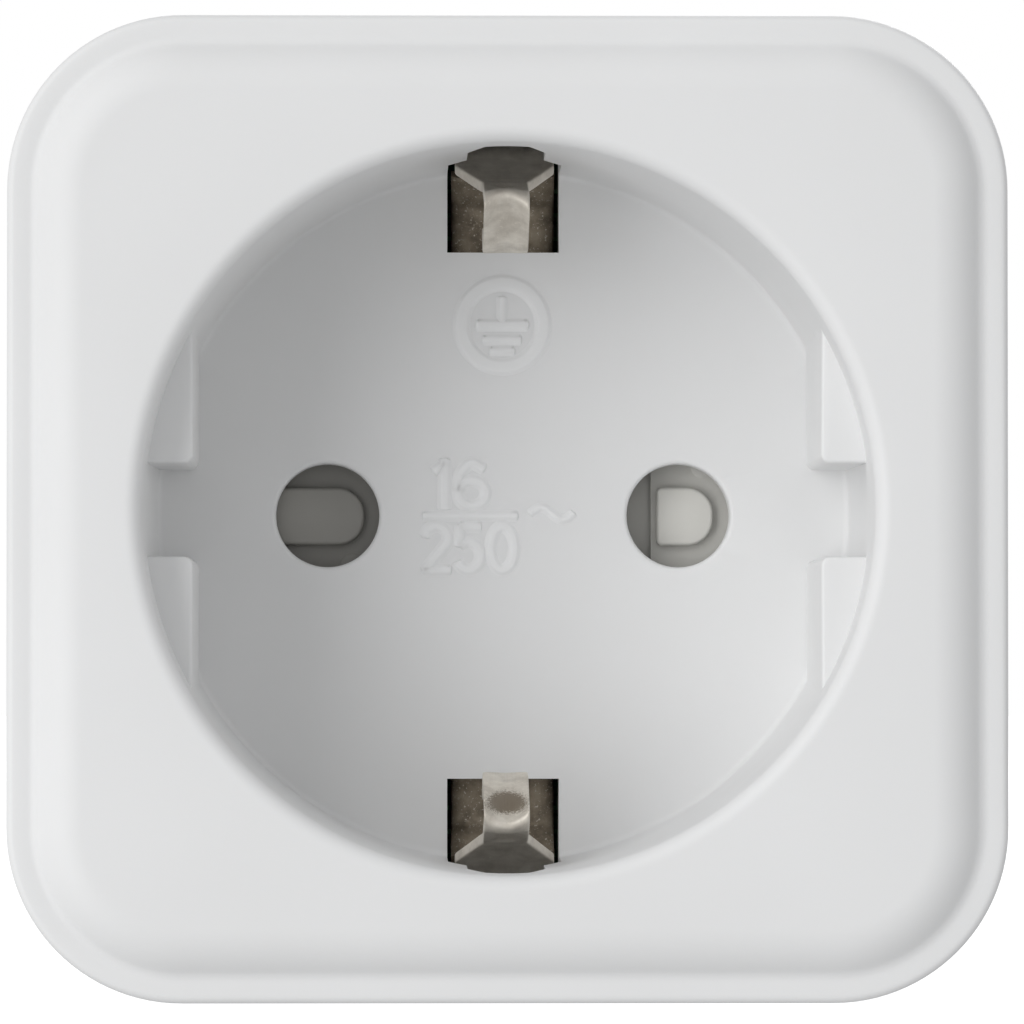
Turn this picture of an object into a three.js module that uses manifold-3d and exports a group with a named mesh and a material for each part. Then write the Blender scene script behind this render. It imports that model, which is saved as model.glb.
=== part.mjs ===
// Plug-in power meter: a compact mains adapter with a socket in its front face, a plug on its
// back, and the metering electronics, relay and radio between them.
// Millimetres. +Y is the way the plug's pins point, +X is right seen from the front, +Z is up.
// The origin is the centre of the plug boss's end face.

import * as THREE from "three";
import { mergeVertices } from "three/addons/utils/BufferGeometryUtils.js";
import Module from "manifold-3d";

const wasm = await Module();
wasm.setup();

// ---- driving dimensions ----

const GAP = 0.3; // between pieces that touch or nearly touch
const SHEET = 0.6; // thickness of the spring-metal parts

const CASE = {
  width: 52.1, // outside, left to right
  height: 51.4, // outside, bottom to top
  behindPins: 5.5, // end of a plugged-in pin to the rear shoulder
  cornerRadius: 9.1, // outside vertical corners, seen from the front
  wall: 2, // side and rear walls
  frontEdgeRound: 0.8,
  rearEdgeRound: 1.5,
  wellToSeam: 10.5, // back of the well's floor to the seam
};

const FACE = {
  rimBand: 1.85, // flat rim around the raised face
  rise: 1.3, // height of the raised face above the rim
  shoulder: 2.5, // width of the rounded shoulder
  wall: 2.2, // thickness behind the rim
};

const WELL = {
  depth: 17.5,
  plugClearance: 0.5, // between its wall and a plug's boss, at the floor
  draft: 0.3, // by how much the mouth is wider in radius than the floor
  mouthRound: 1.2,
  wall: 1.85,
  floorWall: 2,
};

const PIN = {
  spacing: 19,
  diameter: 4.8,
  length: 19, // past the boss's end face
  tip: 1.2, // length of the tapered tip
};

const PIN_HOLE_CLEARANCE = 0.4;

const RIB = {
  flatClearance: 0.3, // to the flats of a plug's boss
  keyClearance: 0.25, // to the keys of a plug's boss
  endClearance: 0.4, // inside the ends of a plug's flats
  recess: 4, // front end of a rib below the face
  cornerChamfer: 0.7,
};

// The slot for an earth clip: full width at the floor, narrower in two steps towards the face.
const SLOT = {
  width: 6.05,
  innerRadius: 14.25,
  start: 11.7, // depth at which the full width begins
  steps: [
    { width: 4.1, start: 8 },
    { width: 2.4, start: 4 },
  ],
};

const CLIP = {
  fingerWidth: 2.4,
  sideClearance: 0.375, // root to the slot's sides
  armInset: 1.3, // arm's middle inside the outside of the well's wall
  taperStartInset: 2.6, // where the root starts to narrow, measured like the arm
  taperEndInset: 3.6,
  grip: 1.45, // how far the contact point stands inside a plug's earth strip
  contactDepth: 10,
  ridgeLift: 0.9, // ridge outside a plug's earth strip
  ridgeDepth: 5,
};

const BRACKET = {
  sideClearance: 0.225, // to the slot's sides
  wingRise: 1.3, // wing's end ahead of the strap
  wingEndInset: 2.4, // measured like the clip's arm
  wingBendInset: 4.2,
  joggle: 1.3, // length of the step behind the shutter, and its distance from it
};

const SHUTTER = {
  thickness: 0.8,
  padHeight: 3.15,
  padRise: 1,
  padOverlap: 2, // pad end past the pin's axis
  padRadius: 1.2,
  rightPadStart: 1.1, // right pad's near end before the pin's axis
  endMargin: 2.3, // plate past the left pin
  sideMargin: 1, // plate past the right pad
  height: 8.8,
  extraTravel: 0.8, // travel beyond a pin's diameter
};

const SPRING = { radius: 1.1, wireRadius: 0.25, turns: 6 };

const BOSS = {
  length: 17,
  radius: 18.25,
  endWall: 2,
  flatDistance: 32.3, // between the guide flats
  keyHeight: 4.4, // rib left in each flat, for the socket's keyway
  flatHeight: 20.4, // height of the flats
  endRound: 0.8,
  cavityRadius: 6,
  cavityToCarrier: 1.3, // cavity's side walls to the pin carrier
  cavityToStrip: 1.7, // cavity's upper and lower walls to the earth strips
};

const EARTH_STRIP = {
  radius: 15.2, // outer face to the axis
  thickness: 0.8,
  width: 6,
  toShoulder: 1.5, // end of its recess to the rear shoulder
};

const EARTH_PIN_SOCKET = {
  offset: 10, // above the plug's axis
  bore: 4.9,
  wall: 0.5,
  length: 13.5,
};

const BOARD = {
  thickness: 1.6,
  rearGap: 1.6, // solder side to the rear wall
};

const SCREW = {
  sideInset: 6.05, // axis to the case's side
  endInset: 6, // axis to the case's top or bottom
  drive: 0.6, // width of the cross recess
  boreReserve: 4, // bore past the screw's end
  shankRadius: 1.4,
  shankLength: 16,
  headRadius: 2.5,
  headHeight: 1.6,
  postRadius: 3,
  rearPostRadius: 3.6,
  headRecess: 2.2,
};

const BUTTON = {
  x: 12,
  fromSeam: 5.5,
  length: 6.4,
  width: 3.6,
  flange: 0.8,
  flangeHeight: 0.8,
  travel: 0.8,
  recess: 0.2, // cap below the case's top
};

const LIGHT_PIPE = { radius: 1.2, fromButton: 5.8 };

const RADIO = {
  width: 11.8,
  thickness: 0.8,
  x: 10.5,
  belowTop: 8.1, // underside below the case's top
  pastButton: 3.9, // its front edge past the button's middle
};

const SHIELD = { width: 9.4, length: 9, tall: 1.9, radius: 0.6, fromBoard: 10.2 };
const TACT_SWITCH = { width: 5.2, length: 4.2, radius: 0.4, belowCap: 1.3 };
const STEM = { radius: 0.9, fromBoard: 1.5 };
const LED = { width: 2.4, length: 1.6, tall: 0.9, radius: 0.2 };

// Moulded block in the boss that holds the two pins.
const PIN_CARRIER = {
  width: PIN.spacing + 7.4,
  height: PIN.diameter + 5.2,
  radius: 2,
};

// Earth link: a bent strip from the bracket back to the plug's earth strip.
const LINK = { height: 8.9, width: 4, top: 13.5, toStrip: 0.6 };

// Components on the main board: middle, size across and height off the board.
const RELAY = { x: -13.5, z: 11, width: 17.8, height: 9.4, tall: 12.6, corner: 0.4 };
const FILM_CAPACITOR = { x: -15.9, z: -12.5, width: 13, height: 5.8, tall: 12, corner: 0.4 };
const METER_CHIP = { x: 12, z: 10, width: 6, height: 5, tall: 1.5, corner: 0.1 };
const SUPPLY_CHIP = { x: 19.6, z: 9.4, width: 5, height: 4, tall: 1.4, corner: 0.1 };
const HEADER = { width: 8.6, height: 2.4, tall: 2.4, corner: 0.1, belowRadio: 1.6 };
const CAPACITOR = { x: [8.8, 17.4], z: -11.2, radius: 4, tall: 12, rim: 0.5, crimp: 1.8, crimpWidth: 0.4 };
const INDUCTOR = { x: 19.6, z: -2.2, flange: 3, core: 2.3, tall: 7.5, flangeWidth: 1 };
const VARISTOR = { x: -11.4, bottom: -21.2, top: -17.6, radius: 4.4, clearance: 0.2 };
const FUSE = { x: 10.4, z: -19.4, radius: 1.8, length: 8.4, lift: 0.4 };
const SHUNT = { left: -21.8, right: -17.4, bottom: -5.5, top: 3.5, tall: 3, thickness: 0.8 };

// ---- positions that follow from them ----

const REAR_Y = -BOSS.length;
const CASE_DEPTH = WELL.depth + PIN.length + CASE.behindPins;
const FACE_Y = REAR_Y - CASE_DEPTH;
const RIM_Y = FACE_Y + FACE.rise;
const FLOOR_Y = FACE_Y + WELL.depth;
const FLOOR_BACK_Y = FLOOR_Y + WELL.floorWall;
const SEAM_Y = FLOOR_BACK_Y + CASE.wellToSeam;
const WELL_FLOOR_RADIUS = BOSS.radius + WELL.plugClearance;
const WELL_MOUTH_RADIUS = WELL_FLOOR_RADIUS + WELL.draft;
const BARREL_RADIUS = WELL_MOUTH_RADIUS + WELL.wall;
const HALF_WIDTH = CASE.width / 2;
const HALF_HEIGHT = CASE.height / 2;
const PIN_X = PIN.spacing / 2;
const PIN_RADIUS = PIN.diameter / 2;
const PIN_SHANK_RADIUS = PIN_RADIUS * 0.6;
const SCREW_X = HALF_WIDTH - SCREW.sideInset;
const SCREW_Z = HALF_HEIGHT - SCREW.endInset;
const REAR_WALL_Y = REAR_Y - CASE.wall;
const SCREW_END_Y = REAR_Y - SCREW.shankLength;
const BOARD_BACK_Y = REAR_WALL_Y - BOARD.rearGap;
const BOARD_Y = BOARD_BACK_Y - BOARD.thickness;
const PARTS_Y = BOARD_Y - GAP;
const PLUGGED_PIN_Y = FLOOR_Y + PIN.length;
const STRIP_INNER = EARTH_STRIP.radius - EARTH_STRIP.thickness;
const STRIP_RECESS_Y = REAR_Y + EARTH_STRIP.toShoulder;
const STRIP_LEG_Y = STRIP_RECESS_Y + GAP + EARTH_STRIP.thickness / 2;
const EARTH_SOCKET_RADIUS = EARTH_PIN_SOCKET.bore / 2 + EARTH_PIN_SOCKET.wall;
const EARTH_SOCKET_Y = -GAP - EARTH_PIN_SOCKET.length;
const SHUTTER_BACK_Y = FLOOR_BACK_Y + GAP + SHUTTER.padRise + SHUTTER.thickness;
const SHUTTER_TRAVEL = PIN.diameter + SHUTTER.extraTravel;
const SHUTTER_LEFT = -PIN_X - PIN_RADIUS - GAP - SHUTTER.endMargin;
const BUTTON_Y = SEAM_Y - BUTTON.fromSeam;
const LIGHT_X = BUTTON.x - LIGHT_PIPE.fromButton;
const RADIO_BOTTOM = HALF_HEIGHT - RADIO.belowTop;
const RADIO_TOP = RADIO_BOTTOM + RADIO.thickness;
const CAP_TOP = HALF_HEIGHT - BUTTON.recess;
const FLANGE_TOP = HALF_HEIGHT - CASE.wall - GAP;
const FLANGE_BOTTOM = FLANGE_TOP - BUTTON.flangeHeight;
const STEM_BOTTOM = RADIO_TOP + STEM.fromBoard;
const ROUND = 20; // segments on a small round
const FINE = 48; // segments on the well and the boss

// ---- materials ----

const finish = (color, roughness, metalness = 0) =>
  new THREE.MeshStandardMaterial({ color, roughness, metalness });

const WHITE_PLASTIC = () => finish(0xf0f0ee, 0.42);
const GREY_PLASTIC = () => finish(0x8d8a84, 0.5);
const DARK_PLASTIC = () => finish(0x2b2b2c, 0.55);
const NICKEL = () => finish(0xb9b2a4, 0.3, 1);
const BRASS = () => finish(0xc2a054, 0.32, 1);
const STEEL = () => finish(0xb4b6b8, 0.28, 1);
const BOARD_GREEN = () => finish(0x2e5b3c, 0.5);
const SLEEVE_BLACK = () => finish(0x23262c, 0.35);
const BLUE_COATING = () => finish(0x2d5fa8, 0.5);
const YELLOW_PLASTIC = () => finish(0xd9b53c, 0.5);
const CLEAR_PLASTIC = () => finish(0xe8eef2, 0.1);

// ---- geometry helpers ----

// The closed solid of a geometry whose corners are merged.
function solid(geometry) {
  const bare = geometry.index ? geometry.toNonIndexed() : geometry.clone();
  bare.deleteAttribute("normal");
  bare.deleteAttribute("uv");
  const merged = mergeVertices(bare, 1e-5);
  const mesh = new wasm.Mesh({
    numProp: 3,
    vertProperties: new Float32Array(merged.attributes.position.array),
    triVerts: new Uint32Array(merged.index.array),
  });
  mesh.merge();
  return new wasm.Manifold(mesh);
}

// The geometry of a solid.
function skin(body) {
  const mesh = body.getMesh();
  const geometry = new THREE.BufferGeometry();
  geometry.setAttribute("position", new THREE.BufferAttribute(mesh.vertProperties, 3));
  geometry.setIndex(new THREE.BufferAttribute(mesh.triVerts, 1));
  geometry.computeVertexNormals();
  return geometry;
}

const join = (...bodies) => bodies.reduce((sum, body) => sum.add(body));
const cut = (body, ...tools) => tools.reduce((rest, tool) => rest.subtract(tool), body);

// An outline in X and Z carried along Y.
function alongY(shape, from, to, options = {}) {
  const settings = { depth: to - from, bevelEnabled: false, curveSegments: 3, ...options };
  const geometry = new THREE.ExtrudeGeometry(shape, settings);
  geometry.rotateX(Math.PI / 2);
  geometry.translate(0, to, 0);
  return solid(geometry);
}

// An outline in Y and Z carried along X.
function alongX(shape, from, to) {
  const geometry = new THREE.ExtrudeGeometry(shape, { depth: to - from, bevelEnabled: false });
  const turn = new THREE.Matrix4().makeBasis(
    new THREE.Vector3(0, 1, 0),
    new THREE.Vector3(0, 0, 1),
    new THREE.Vector3(1, 0, 0),
  );
  geometry.applyMatrix4(turn);
  geometry.translate(from, 0, 0);
  return solid(geometry);
}

// An outline in X and Y carried along Z.
function alongZ(shape, from, to) {
  const geometry = new THREE.ExtrudeGeometry(shape, {
    depth: to - from,
    bevelEnabled: false,
    curveSegments: 3,
  });
  geometry.translate(0, 0, from);
  return solid(geometry);
}

// A block between two corners.
function block([x0, y0, z0], [x1, y1, z1]) {
  const geometry = new THREE.BoxGeometry(x1 - x0, y1 - y0, z1 - z0);
  geometry.translate((x0 + x1) / 2, (y0 + y1) / 2, (z0 + z1) / 2);
  return solid(geometry);
}

// A profile of [radius, y] points, from axis to axis, turned about a line along Y.
function turned(profile, segments = ROUND, x = 0, z = 0) {
  const points = profile.map(([radius, y]) => new THREE.Vector2(radius, y));
  const geometry = new THREE.LatheGeometry(points, segments);
  geometry.translate(x, 0, z);
  const body = solid(geometry);
  return body.volume() < 0 ? solid(inverted(geometry)) : body;
}

// The same geometry with its triangles facing the other way.
function inverted(geometry) {
  const copy = geometry.clone();
  const index = copy.index.array;
  for (let corner = 0; corner < index.length; corner += 3) {
    [index[corner], index[corner + 1]] = [index[corner + 1], index[corner]];
  }
  return copy;
}

// A round rod along Y.
function rod(radius, from, to, x = 0, z = 0, segments = ROUND) {
  return turned([[0, from], [radius, from], [radius, to], [0, to]], segments, x, z);
}

function polygon(points) {
  return new THREE.Shape(points.map(([u, v]) => new THREE.Vector2(u, v)));
}

function roundedRectangle(width, height, radius, x = 0, z = 0) {
  const u = width / 2 - radius;
  const v = height / 2 - radius;
  const shape = new THREE.Shape();
  shape.absarc(x + u, z - v, radius, -Math.PI / 2, 0);
  shape.absarc(x + u, z + v, radius, 0, Math.PI / 2);
  shape.absarc(x - u, z + v, radius, Math.PI / 2, Math.PI);
  shape.absarc(x - u, z - v, radius, Math.PI, 1.5 * Math.PI);
  shape.closePath();
  return shape;
}

// The outline of bent sheet metal: an open line of [u, v] points given a thickness.
function bentSheet(line, thickness = SHEET) {
  const points = line.map(([u, v]) => new THREE.Vector2(u, v));
  const side = (sign) =>
    points.map((point, index) => {
      const before = points[Math.max(index - 1, 0)];
      const after = points[Math.min(index + 1, points.length - 1)];
      const incoming = point.clone().sub(before).normalize();
      const outgoing = after.clone().sub(point).normalize();
      const way = incoming.clone().add(outgoing).normalize();
      const straight = index === 0 ? outgoing : incoming;
      const mitre = Math.max(way.dot(straight), 0.5);
      const normal = new THREE.Vector2(-way.y, way.x);
      return point.clone().addScaledVector(normal, (sign * thickness) / 2 / mitre);
    });
  return new THREE.Shape([...side(1), ...side(-1).reverse()]);
}

const mirroredX = (body) => body.mirror([1, 0, 0]);
const mirroredZ = (body) => body.mirror([0, 0, 1]);
const bothSides = (body) => body.add(mirroredX(body));
const bothEnds = (body) => body.add(mirroredZ(body));

function part(name, body, material) {
  const mesh = new THREE.Mesh(skin(body), material);
  mesh.name = name;
  return mesh;
}

// ---- casing ----

// The case's outline, moved in by an inset and carried along Y.
function casePrism(inset, from, to, options = {}) {
  const outline = roundedRectangle(
    CASE.width - 2 * inset,
    CASE.height - 2 * inset,
    CASE.cornerRadius - inset,
  );
  return alongY(outline, from, to, { curveSegments: 5, ...options });
}

// Settings that round an outline's end edges without growing it.
const rounded = (height, width, segments) => ({
  bevelEnabled: true,
  bevelThickness: height,
  bevelSize: width,
  bevelOffset: -width,
  bevelSegments: segments,
});

const atCorners = (make) => bothEnds(bothSides(make(SCREW_X, SCREW_Z)));

const everything = CASE.width + CASE.height + CASE_DEPTH;

// The bore of the socket well, with a rounded mouth and a slight draft.
function wellBore() {
  const steps = 4;
  const mouth = [];
  for (let step = 0; step <= steps; step += 1) {
    const angle = (step / steps) * (Math.PI / 2);
    mouth.push([
      WELL_MOUTH_RADIUS + WELL.mouthRound * (1 - Math.sin(angle)),
      FACE_Y + WELL.mouthRound * (1 - Math.cos(angle)),
    ]);
  }
  const open = WELL_MOUTH_RADIUS + WELL.mouthRound;
  return turned(
    [[0, FACE_Y - 1], [open, FACE_Y - 1], ...mouth, [WELL_FLOOR_RADIUS, FLOOR_Y], [0, FLOOR_Y]],
    FINE,
  );
}

// The four ribs that guide a plug by its flats.
function guideRibs() {
  const flat = BOSS.flatDistance / 2 + RIB.flatClearance;
  const keyway = BOSS.keyHeight / 2 + RIB.keyClearance;
  const end = BOSS.flatHeight / 2 - RIB.endClearance;
  const outline = polygon([
    [flat, keyway + RIB.cornerChamfer],
    [flat + RIB.cornerChamfer, keyway],
    [BARREL_RADIUS, keyway],
    [BARREL_RADIUS, end],
    [flat, end],
  ]);
  const rib = alongY(outline, FACE_Y + RIB.recess, FLOOR_Y + 1);
  const inside = rod(BARREL_RADIUS - 0.2, FACE_Y, FLOOR_BACK_Y, 0, 0, FINE);
  return bothEnds(bothSides(rib.intersect(inside)));
}

// The stepped slots through the well's wall and floor for the earth clips.
function clipSlots() {
  const outer = BARREL_RADIUS + 1;
  const steps = [{ width: SLOT.width, start: SLOT.start }, ...SLOT.steps];
  const cuts = steps.map(({ width, start }) =>
    block(
      [-width / 2, FACE_Y + start, SLOT.innerRadius],
      [width / 2, FLOOR_BACK_Y + 1, outer],
    ),
  );
  return bothEnds(join(...cuts));
}

function frontHousing() {
  const edge = CASE.frontEdgeRound;
  const casing = casePrism(0, RIM_Y + edge, SEAM_Y, rounded(edge, edge, 2));
  const raised = casePrism(
    FACE.rimBand,
    RIM_Y,
    RIM_Y + 1,
    rounded(FACE.rise, FACE.shoulder, 3),
  );
  const hollow = casePrism(CASE.wall, RIM_Y + FACE.wall, SEAM_Y + 1);
  const barrel = rod(BARREL_RADIUS, RIM_Y + 1, FLOOR_BACK_Y, 0, 0, FINE);
  const posts = atCorners((x, z) => rod(SCREW.postRadius, RIM_Y + 1, SEAM_Y, x, z));
  const bores = atCorners((x, z) =>
    rod(SCREW.shankRadius + GAP, SCREW_END_Y - SCREW.boreReserve, SEAM_Y + 1, x, z),
  );
  const pinHoles = bothSides(
    rod(PIN_RADIUS + PIN_HOLE_CLEARANCE, FLOOR_Y - 2, FLOOR_BACK_Y + 1, PIN_X),
  );
  const behindSeam = block([-everything, SEAM_Y, -everything], [everything, 0, everything]);
  const shell = cut(join(casing, raised), hollow);
  return cut(
    join(cut(join(shell, barrel, posts), wellBore()), guideRibs()),
    pinHoles,
    clipSlots(),
    bores,
    behindSeam,
    buttonOpening(),
    lightPipeOpening(),
  );
}

// An outline with half-round ends, short of a full half circle so that its sides stay straight.
const pill = (length, width, x, y) =>
  roundedRectangle(length, width, width / 2 - 0.01, x, y);

function buttonOpening() {
  const outline = pill(BUTTON.length + 2 * GAP, BUTTON.width + 2 * GAP, BUTTON.x, BUTTON_Y);
  return alongZ(outline, HALF_HEIGHT - CASE.wall - 1, HALF_HEIGHT + 1);
}

// A round rod along Z.
function uprightRod(radius, from, to, x, y) {
  const geometry = new THREE.CylinderGeometry(radius, radius, to - from, ROUND);
  geometry.rotateX(Math.PI / 2);
  geometry.translate(x, y, (from + to) / 2);
  return solid(geometry);
}

function lightPipeOpening() {
  return uprightRod(
    LIGHT_PIPE.radius + GAP,
    HALF_HEIGHT - CASE.wall - 1,
    HALF_HEIGHT + 1,
    LIGHT_X,
    BUTTON_Y,
  );
}

// The boss that enters the wall socket, with guide flats and keys at its sides.
function plugBoss() {
  const flat = BOSS.flatDistance / 2;
  const side = bothEnds(
    block([flat, REAR_Y, BOSS.keyHeight / 2], [BOSS.radius + 1, 1, BOSS.flatHeight / 2]),
  );
  const round = turned(
    [
      [0, REAR_WALL_Y],
      [BOSS.radius, REAR_WALL_Y],
      [BOSS.radius, -BOSS.endRound],
      [BOSS.radius - BOSS.endRound, 0],
      [0, 0],
    ],
    FINE,
  );
  return cut(round, bothSides(side));
}

// What the earth contacts on and in the boss need: recesses, leg slots and the earth pin's hole.
function bossOpenings() {
  const recess = bothEnds(
    block(
      [-EARTH_STRIP.width / 2 - GAP, STRIP_RECESS_Y, STRIP_INNER - GAP],
      [EARTH_STRIP.width / 2 + GAP, 1, BOSS.radius + 1],
    ),
  );
  const legSlot = bothEnds(
    block(
      [-EARTH_STRIP.width / 2 - GAP, STRIP_RECESS_Y, STRIP_INNER - BOSS.cavityToStrip - 1],
      [EARTH_STRIP.width / 2 + GAP, STRIP_LEG_Y + EARTH_STRIP.thickness / 2 + GAP, STRIP_INNER],
    ),
  );
  const pinHoles = bothSides(rod(PIN_RADIUS + GAP, -BOSS.endWall - 1, 1, PIN_X));
  const earthHole = rod(EARTH_SOCKET_RADIUS + GAP, EARTH_SOCKET_Y - 1, 1, 0, EARTH_PIN_SOCKET.offset);
  return join(recess, legSlot, pinHoles, earthHole);
}

function rearHousing() {
  const front = SEAM_Y + GAP;
  const edge = CASE.rearEdgeRound;
  const casing = casePrism(0, front, REAR_Y - edge, rounded(edge, edge, 2));
  const hollow = casePrism(CASE.wall, front - 1, REAR_WALL_Y);
  const lipInset = CASE.wall + GAP;
  const lipWall = 0.9;
  const lipLength = 2;
  const lip = cut(
    casePrism(lipInset, front - lipLength, front + 0.5),
    casePrism(lipInset + lipWall, front - lipLength - 1, front + 1),
    atCorners((x, z) => rod(SCREW.postRadius + GAP, front - lipLength - 1, front, x, z)),
  );
  const lipRoot = cut(
    casePrism(CASE.wall - 0.5, front, front + 0.5),
    casePrism(lipInset + lipWall, front - 1, front + 1),
  );
  const posts = atCorners((x, z) => rod(SCREW.rearPostRadius, front, REAR_WALL_Y, x, z));
  const shanks = atCorners((x, z) => rod(SCREW.shankRadius + GAP, front - 1, REAR_Y, x, z));
  const heads = atCorners((x, z) =>
    rod(SCREW.headRadius + GAP, REAR_Y - SCREW.headRecess, REAR_Y + 1, x, z),
  );
  const cavity = alongY(
    roundedRectangle(
      PIN_CARRIER.width + 2 * BOSS.cavityToCarrier,
      2 * (STRIP_INNER - BOSS.cavityToStrip),
      BOSS.cavityRadius,
    ),
    REAR_WALL_Y - 1,
    -BOSS.endWall,
  );
  const ahead = block([-everything, FACE_Y, -everything], [everything, front, everything]);
  const shell = join(cut(casing, hollow, ahead), lip, lipRoot, posts, plugBoss());
  return cut(shell, cavity, bossOpenings(), shanks, heads);
}

function housingScrew() {
  const seat = REAR_Y - SCREW.headRecess + 0.05;
  const reach = SCREW.headRadius * 0.7;
  const half = SCREW.drive / 2;
  const slot = block([-reach, seat + 0.8, -half], [reach, seat + 2, half]);
  const crossSlot = block([-half, seat + 0.8, -reach], [half, seat + 2, reach]);
  const body = turned(
    [
      [0, seat - SCREW.shankLength],
      [SCREW.shankRadius * 0.6, seat - SCREW.shankLength],
      [SCREW.shankRadius, seat - SCREW.shankLength + 1],
      [SCREW.shankRadius, seat],
      [SCREW.headRadius, seat],
      [SCREW.headRadius, seat + 1],
      [SCREW.headRadius * 0.8, seat + SCREW.headHeight],
      [0, seat + SCREW.headHeight],
    ],
  );
  return cut(body, slot, crossSlot);
}

// ---- socket side: contacts, shutter and earth parts ----

// Bracket of the earth circuit: a strap behind the well's floor, whose ends lie behind the slots.
function earthBracket() {
  const strap = FLOOR_BACK_Y + GAP + SHEET / 2;
  const behindShutter = SHUTTER_BACK_Y + GAP + SHEET / 2 + 0.1;
  const half = [
    [strap - BRACKET.wingRise, BARREL_RADIUS - BRACKET.wingEndInset],
    [strap, BARREL_RADIUS - BRACKET.wingBendInset],
    [strap, SHUTTER.height / 2 + 2 * BRACKET.joggle],
    [behindShutter, SHUTTER.height / 2 + BRACKET.joggle],
  ];
  const other = half.map(([y, z]) => [y, -z]).reverse();
  const width = SLOT.width - 2 * BRACKET.sideClearance;
  return alongX(bentSheet([...half, ...other]), -width / 2, width / 2);
}

// A spring finger: its arm lies outside the well's wall, its root tapers into a finger that
// rises to a ridge near the face and falls back to the contact point.
function earthClip() {
  const arm = BARREL_RADIUS - CLIP.armInset;
  const taperStart = BARREL_RADIUS - CLIP.taperStartInset;
  const taperEnd = BARREL_RADIUS - CLIP.taperEndInset;
  const ridgeY = FACE_Y + CLIP.ridgeDepth;
  const ridge = EARTH_STRIP.radius + CLIP.ridgeLift;
  const contactY = FACE_Y + CLIP.contactDepth;
  const contact = EARTH_STRIP.radius - CLIP.grip;
  const line = [
    [FLOOR_BACK_Y + GAP, arm],
    [FACE_Y + SLOT.start + 2.7, arm],
    [FACE_Y + SLOT.start + 1.3, taperStart],
    [FACE_Y + SLOT.start - 0.4, taperEnd],
    [ridgeY + 0.9, ridge + 0.35],
    [ridgeY, ridge],
    [ridgeY + 0.8, ridge - 0.5],
    [contactY - 1.2, contact + 0.6],
    [contactY, contact + SHEET / 2],
    [contactY + 1.6, contact + 0.5],
    [contactY + 3.2, contact + 1.3],
  ];
  const finger = CLIP.fingerWidth / 2;
  const root = SLOT.width / 2 - CLIP.sideClearance;
  const widths = polygon([
    [-finger, 0],
    [finger, 0],
    [finger, taperEnd],
    [root, taperStart],
    [root, BARREL_RADIUS],
    [-root, BARREL_RADIUS],
    [-root, taperStart],
    [-finger, taperEnd],
  ]);
  return alongX(bentSheet(line), -root, root).intersect(alongY(widths, FACE_Y, REAR_Y));
}

// Sliding shutter: two raised pads that cover the pin holes, on a plate with openings that line
// up with the holes once the shutter has moved by its travel.
function shutter() {
  const padFront = FLOOR_BACK_Y + GAP;
  const plateFront = padFront + SHUTTER.padRise;
  const clear = PIN_RADIUS + GAP;
  const rightEnd = PIN_X + SHUTTER.padOverlap + SHUTTER.sideMargin;
  const plate = block(
    [SHUTTER_LEFT, plateFront, -SHUTTER.height / 2],
    [rightEnd, SHUTTER_BACK_Y, SHUTTER.height / 2],
  );
  const opening = block(
    [-PIN_X + SHUTTER_TRAVEL - clear, plateFront - 1, -clear],
    [-PIN_X + SHUTTER_TRAVEL + clear, SHUTTER_BACK_Y + 1, clear],
  );
  const pad = (left, right) =>
    alongY(
      roundedRectangle(right - left, SHUTTER.padHeight, SHUTTER.padRadius, (left + right) / 2),
      padFront,
      plateFront + 0.2,
    );
  const leftPad = pad(SHUTTER_LEFT + 0.4, -PIN_X + SHUTTER.padOverlap);
  const rightPad = pad(PIN_X - SHUTTER.rightPadStart, PIN_X + SHUTTER.padOverlap);
  return join(cut(plate, opening), leftPad, rightPad);
}

// Coil spring between the case's left wall and the shutter's end.
class Helix extends THREE.Curve {
  constructor(radius, turns, length) {
    super();
    Object.assign(this, { radius, turns, length });
  }
  getPoint(t) {
    const angle = t * this.turns * 2 * Math.PI;
    return new THREE.Vector3(
      t * this.length,
      this.radius * Math.cos(angle),
      this.radius * Math.sin(angle),
    );
  }
}

function coilSpring(length) {
  const { radius, wireRadius, turns } = SPRING;
  const section = new THREE.Shape();
  section.absarc(0, 0, wireRadius, 0, 2 * Math.PI);
  const geometry = new THREE.ExtrudeGeometry(section, {
    steps: turns * 8,
    curveSegments: 3,
    bevelEnabled: false,
    extrudePath: new Helix(radius, turns, length),
  });
  return solid(geometry);
}

const CARRIER = {
  front: SHUTTER_BACK_Y + 1.5,
  back: PLUGGED_PIN_Y - 1,
  width: PIN.spacing + 11,
  height: PIN.diameter + 6.4,
  waistWidth: 6, // cut away above and below, for the earth links
  waistHeight: 6.8,
};
const CONTACT = { inner: PIN_RADIUS + 0.1, outer: PIN_RADIUS + 0.7, slit: 0.5, length: 9.5 };

// Moulded block behind the shutter that holds the two mains contacts.
function contactCarrier() {
  const outline = roundedRectangle(CARRIER.width, CARRIER.height, 2);
  const body = alongY(outline, CARRIER.front, CARRIER.back);
  const bores = bothSides(
    rod(CONTACT.outer + GAP, CARRIER.front - 1, CARRIER.back + 1, PIN_X),
  );
  const waist = bothEnds(
    block(
      [-CARRIER.waistWidth / 2, CARRIER.front - 1, CARRIER.waistHeight / 2],
      [CARRIER.waistWidth / 2, CARRIER.back + 1, CARRIER.height],
    ),
  );
  return cut(body, bores, waist);
}

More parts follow.
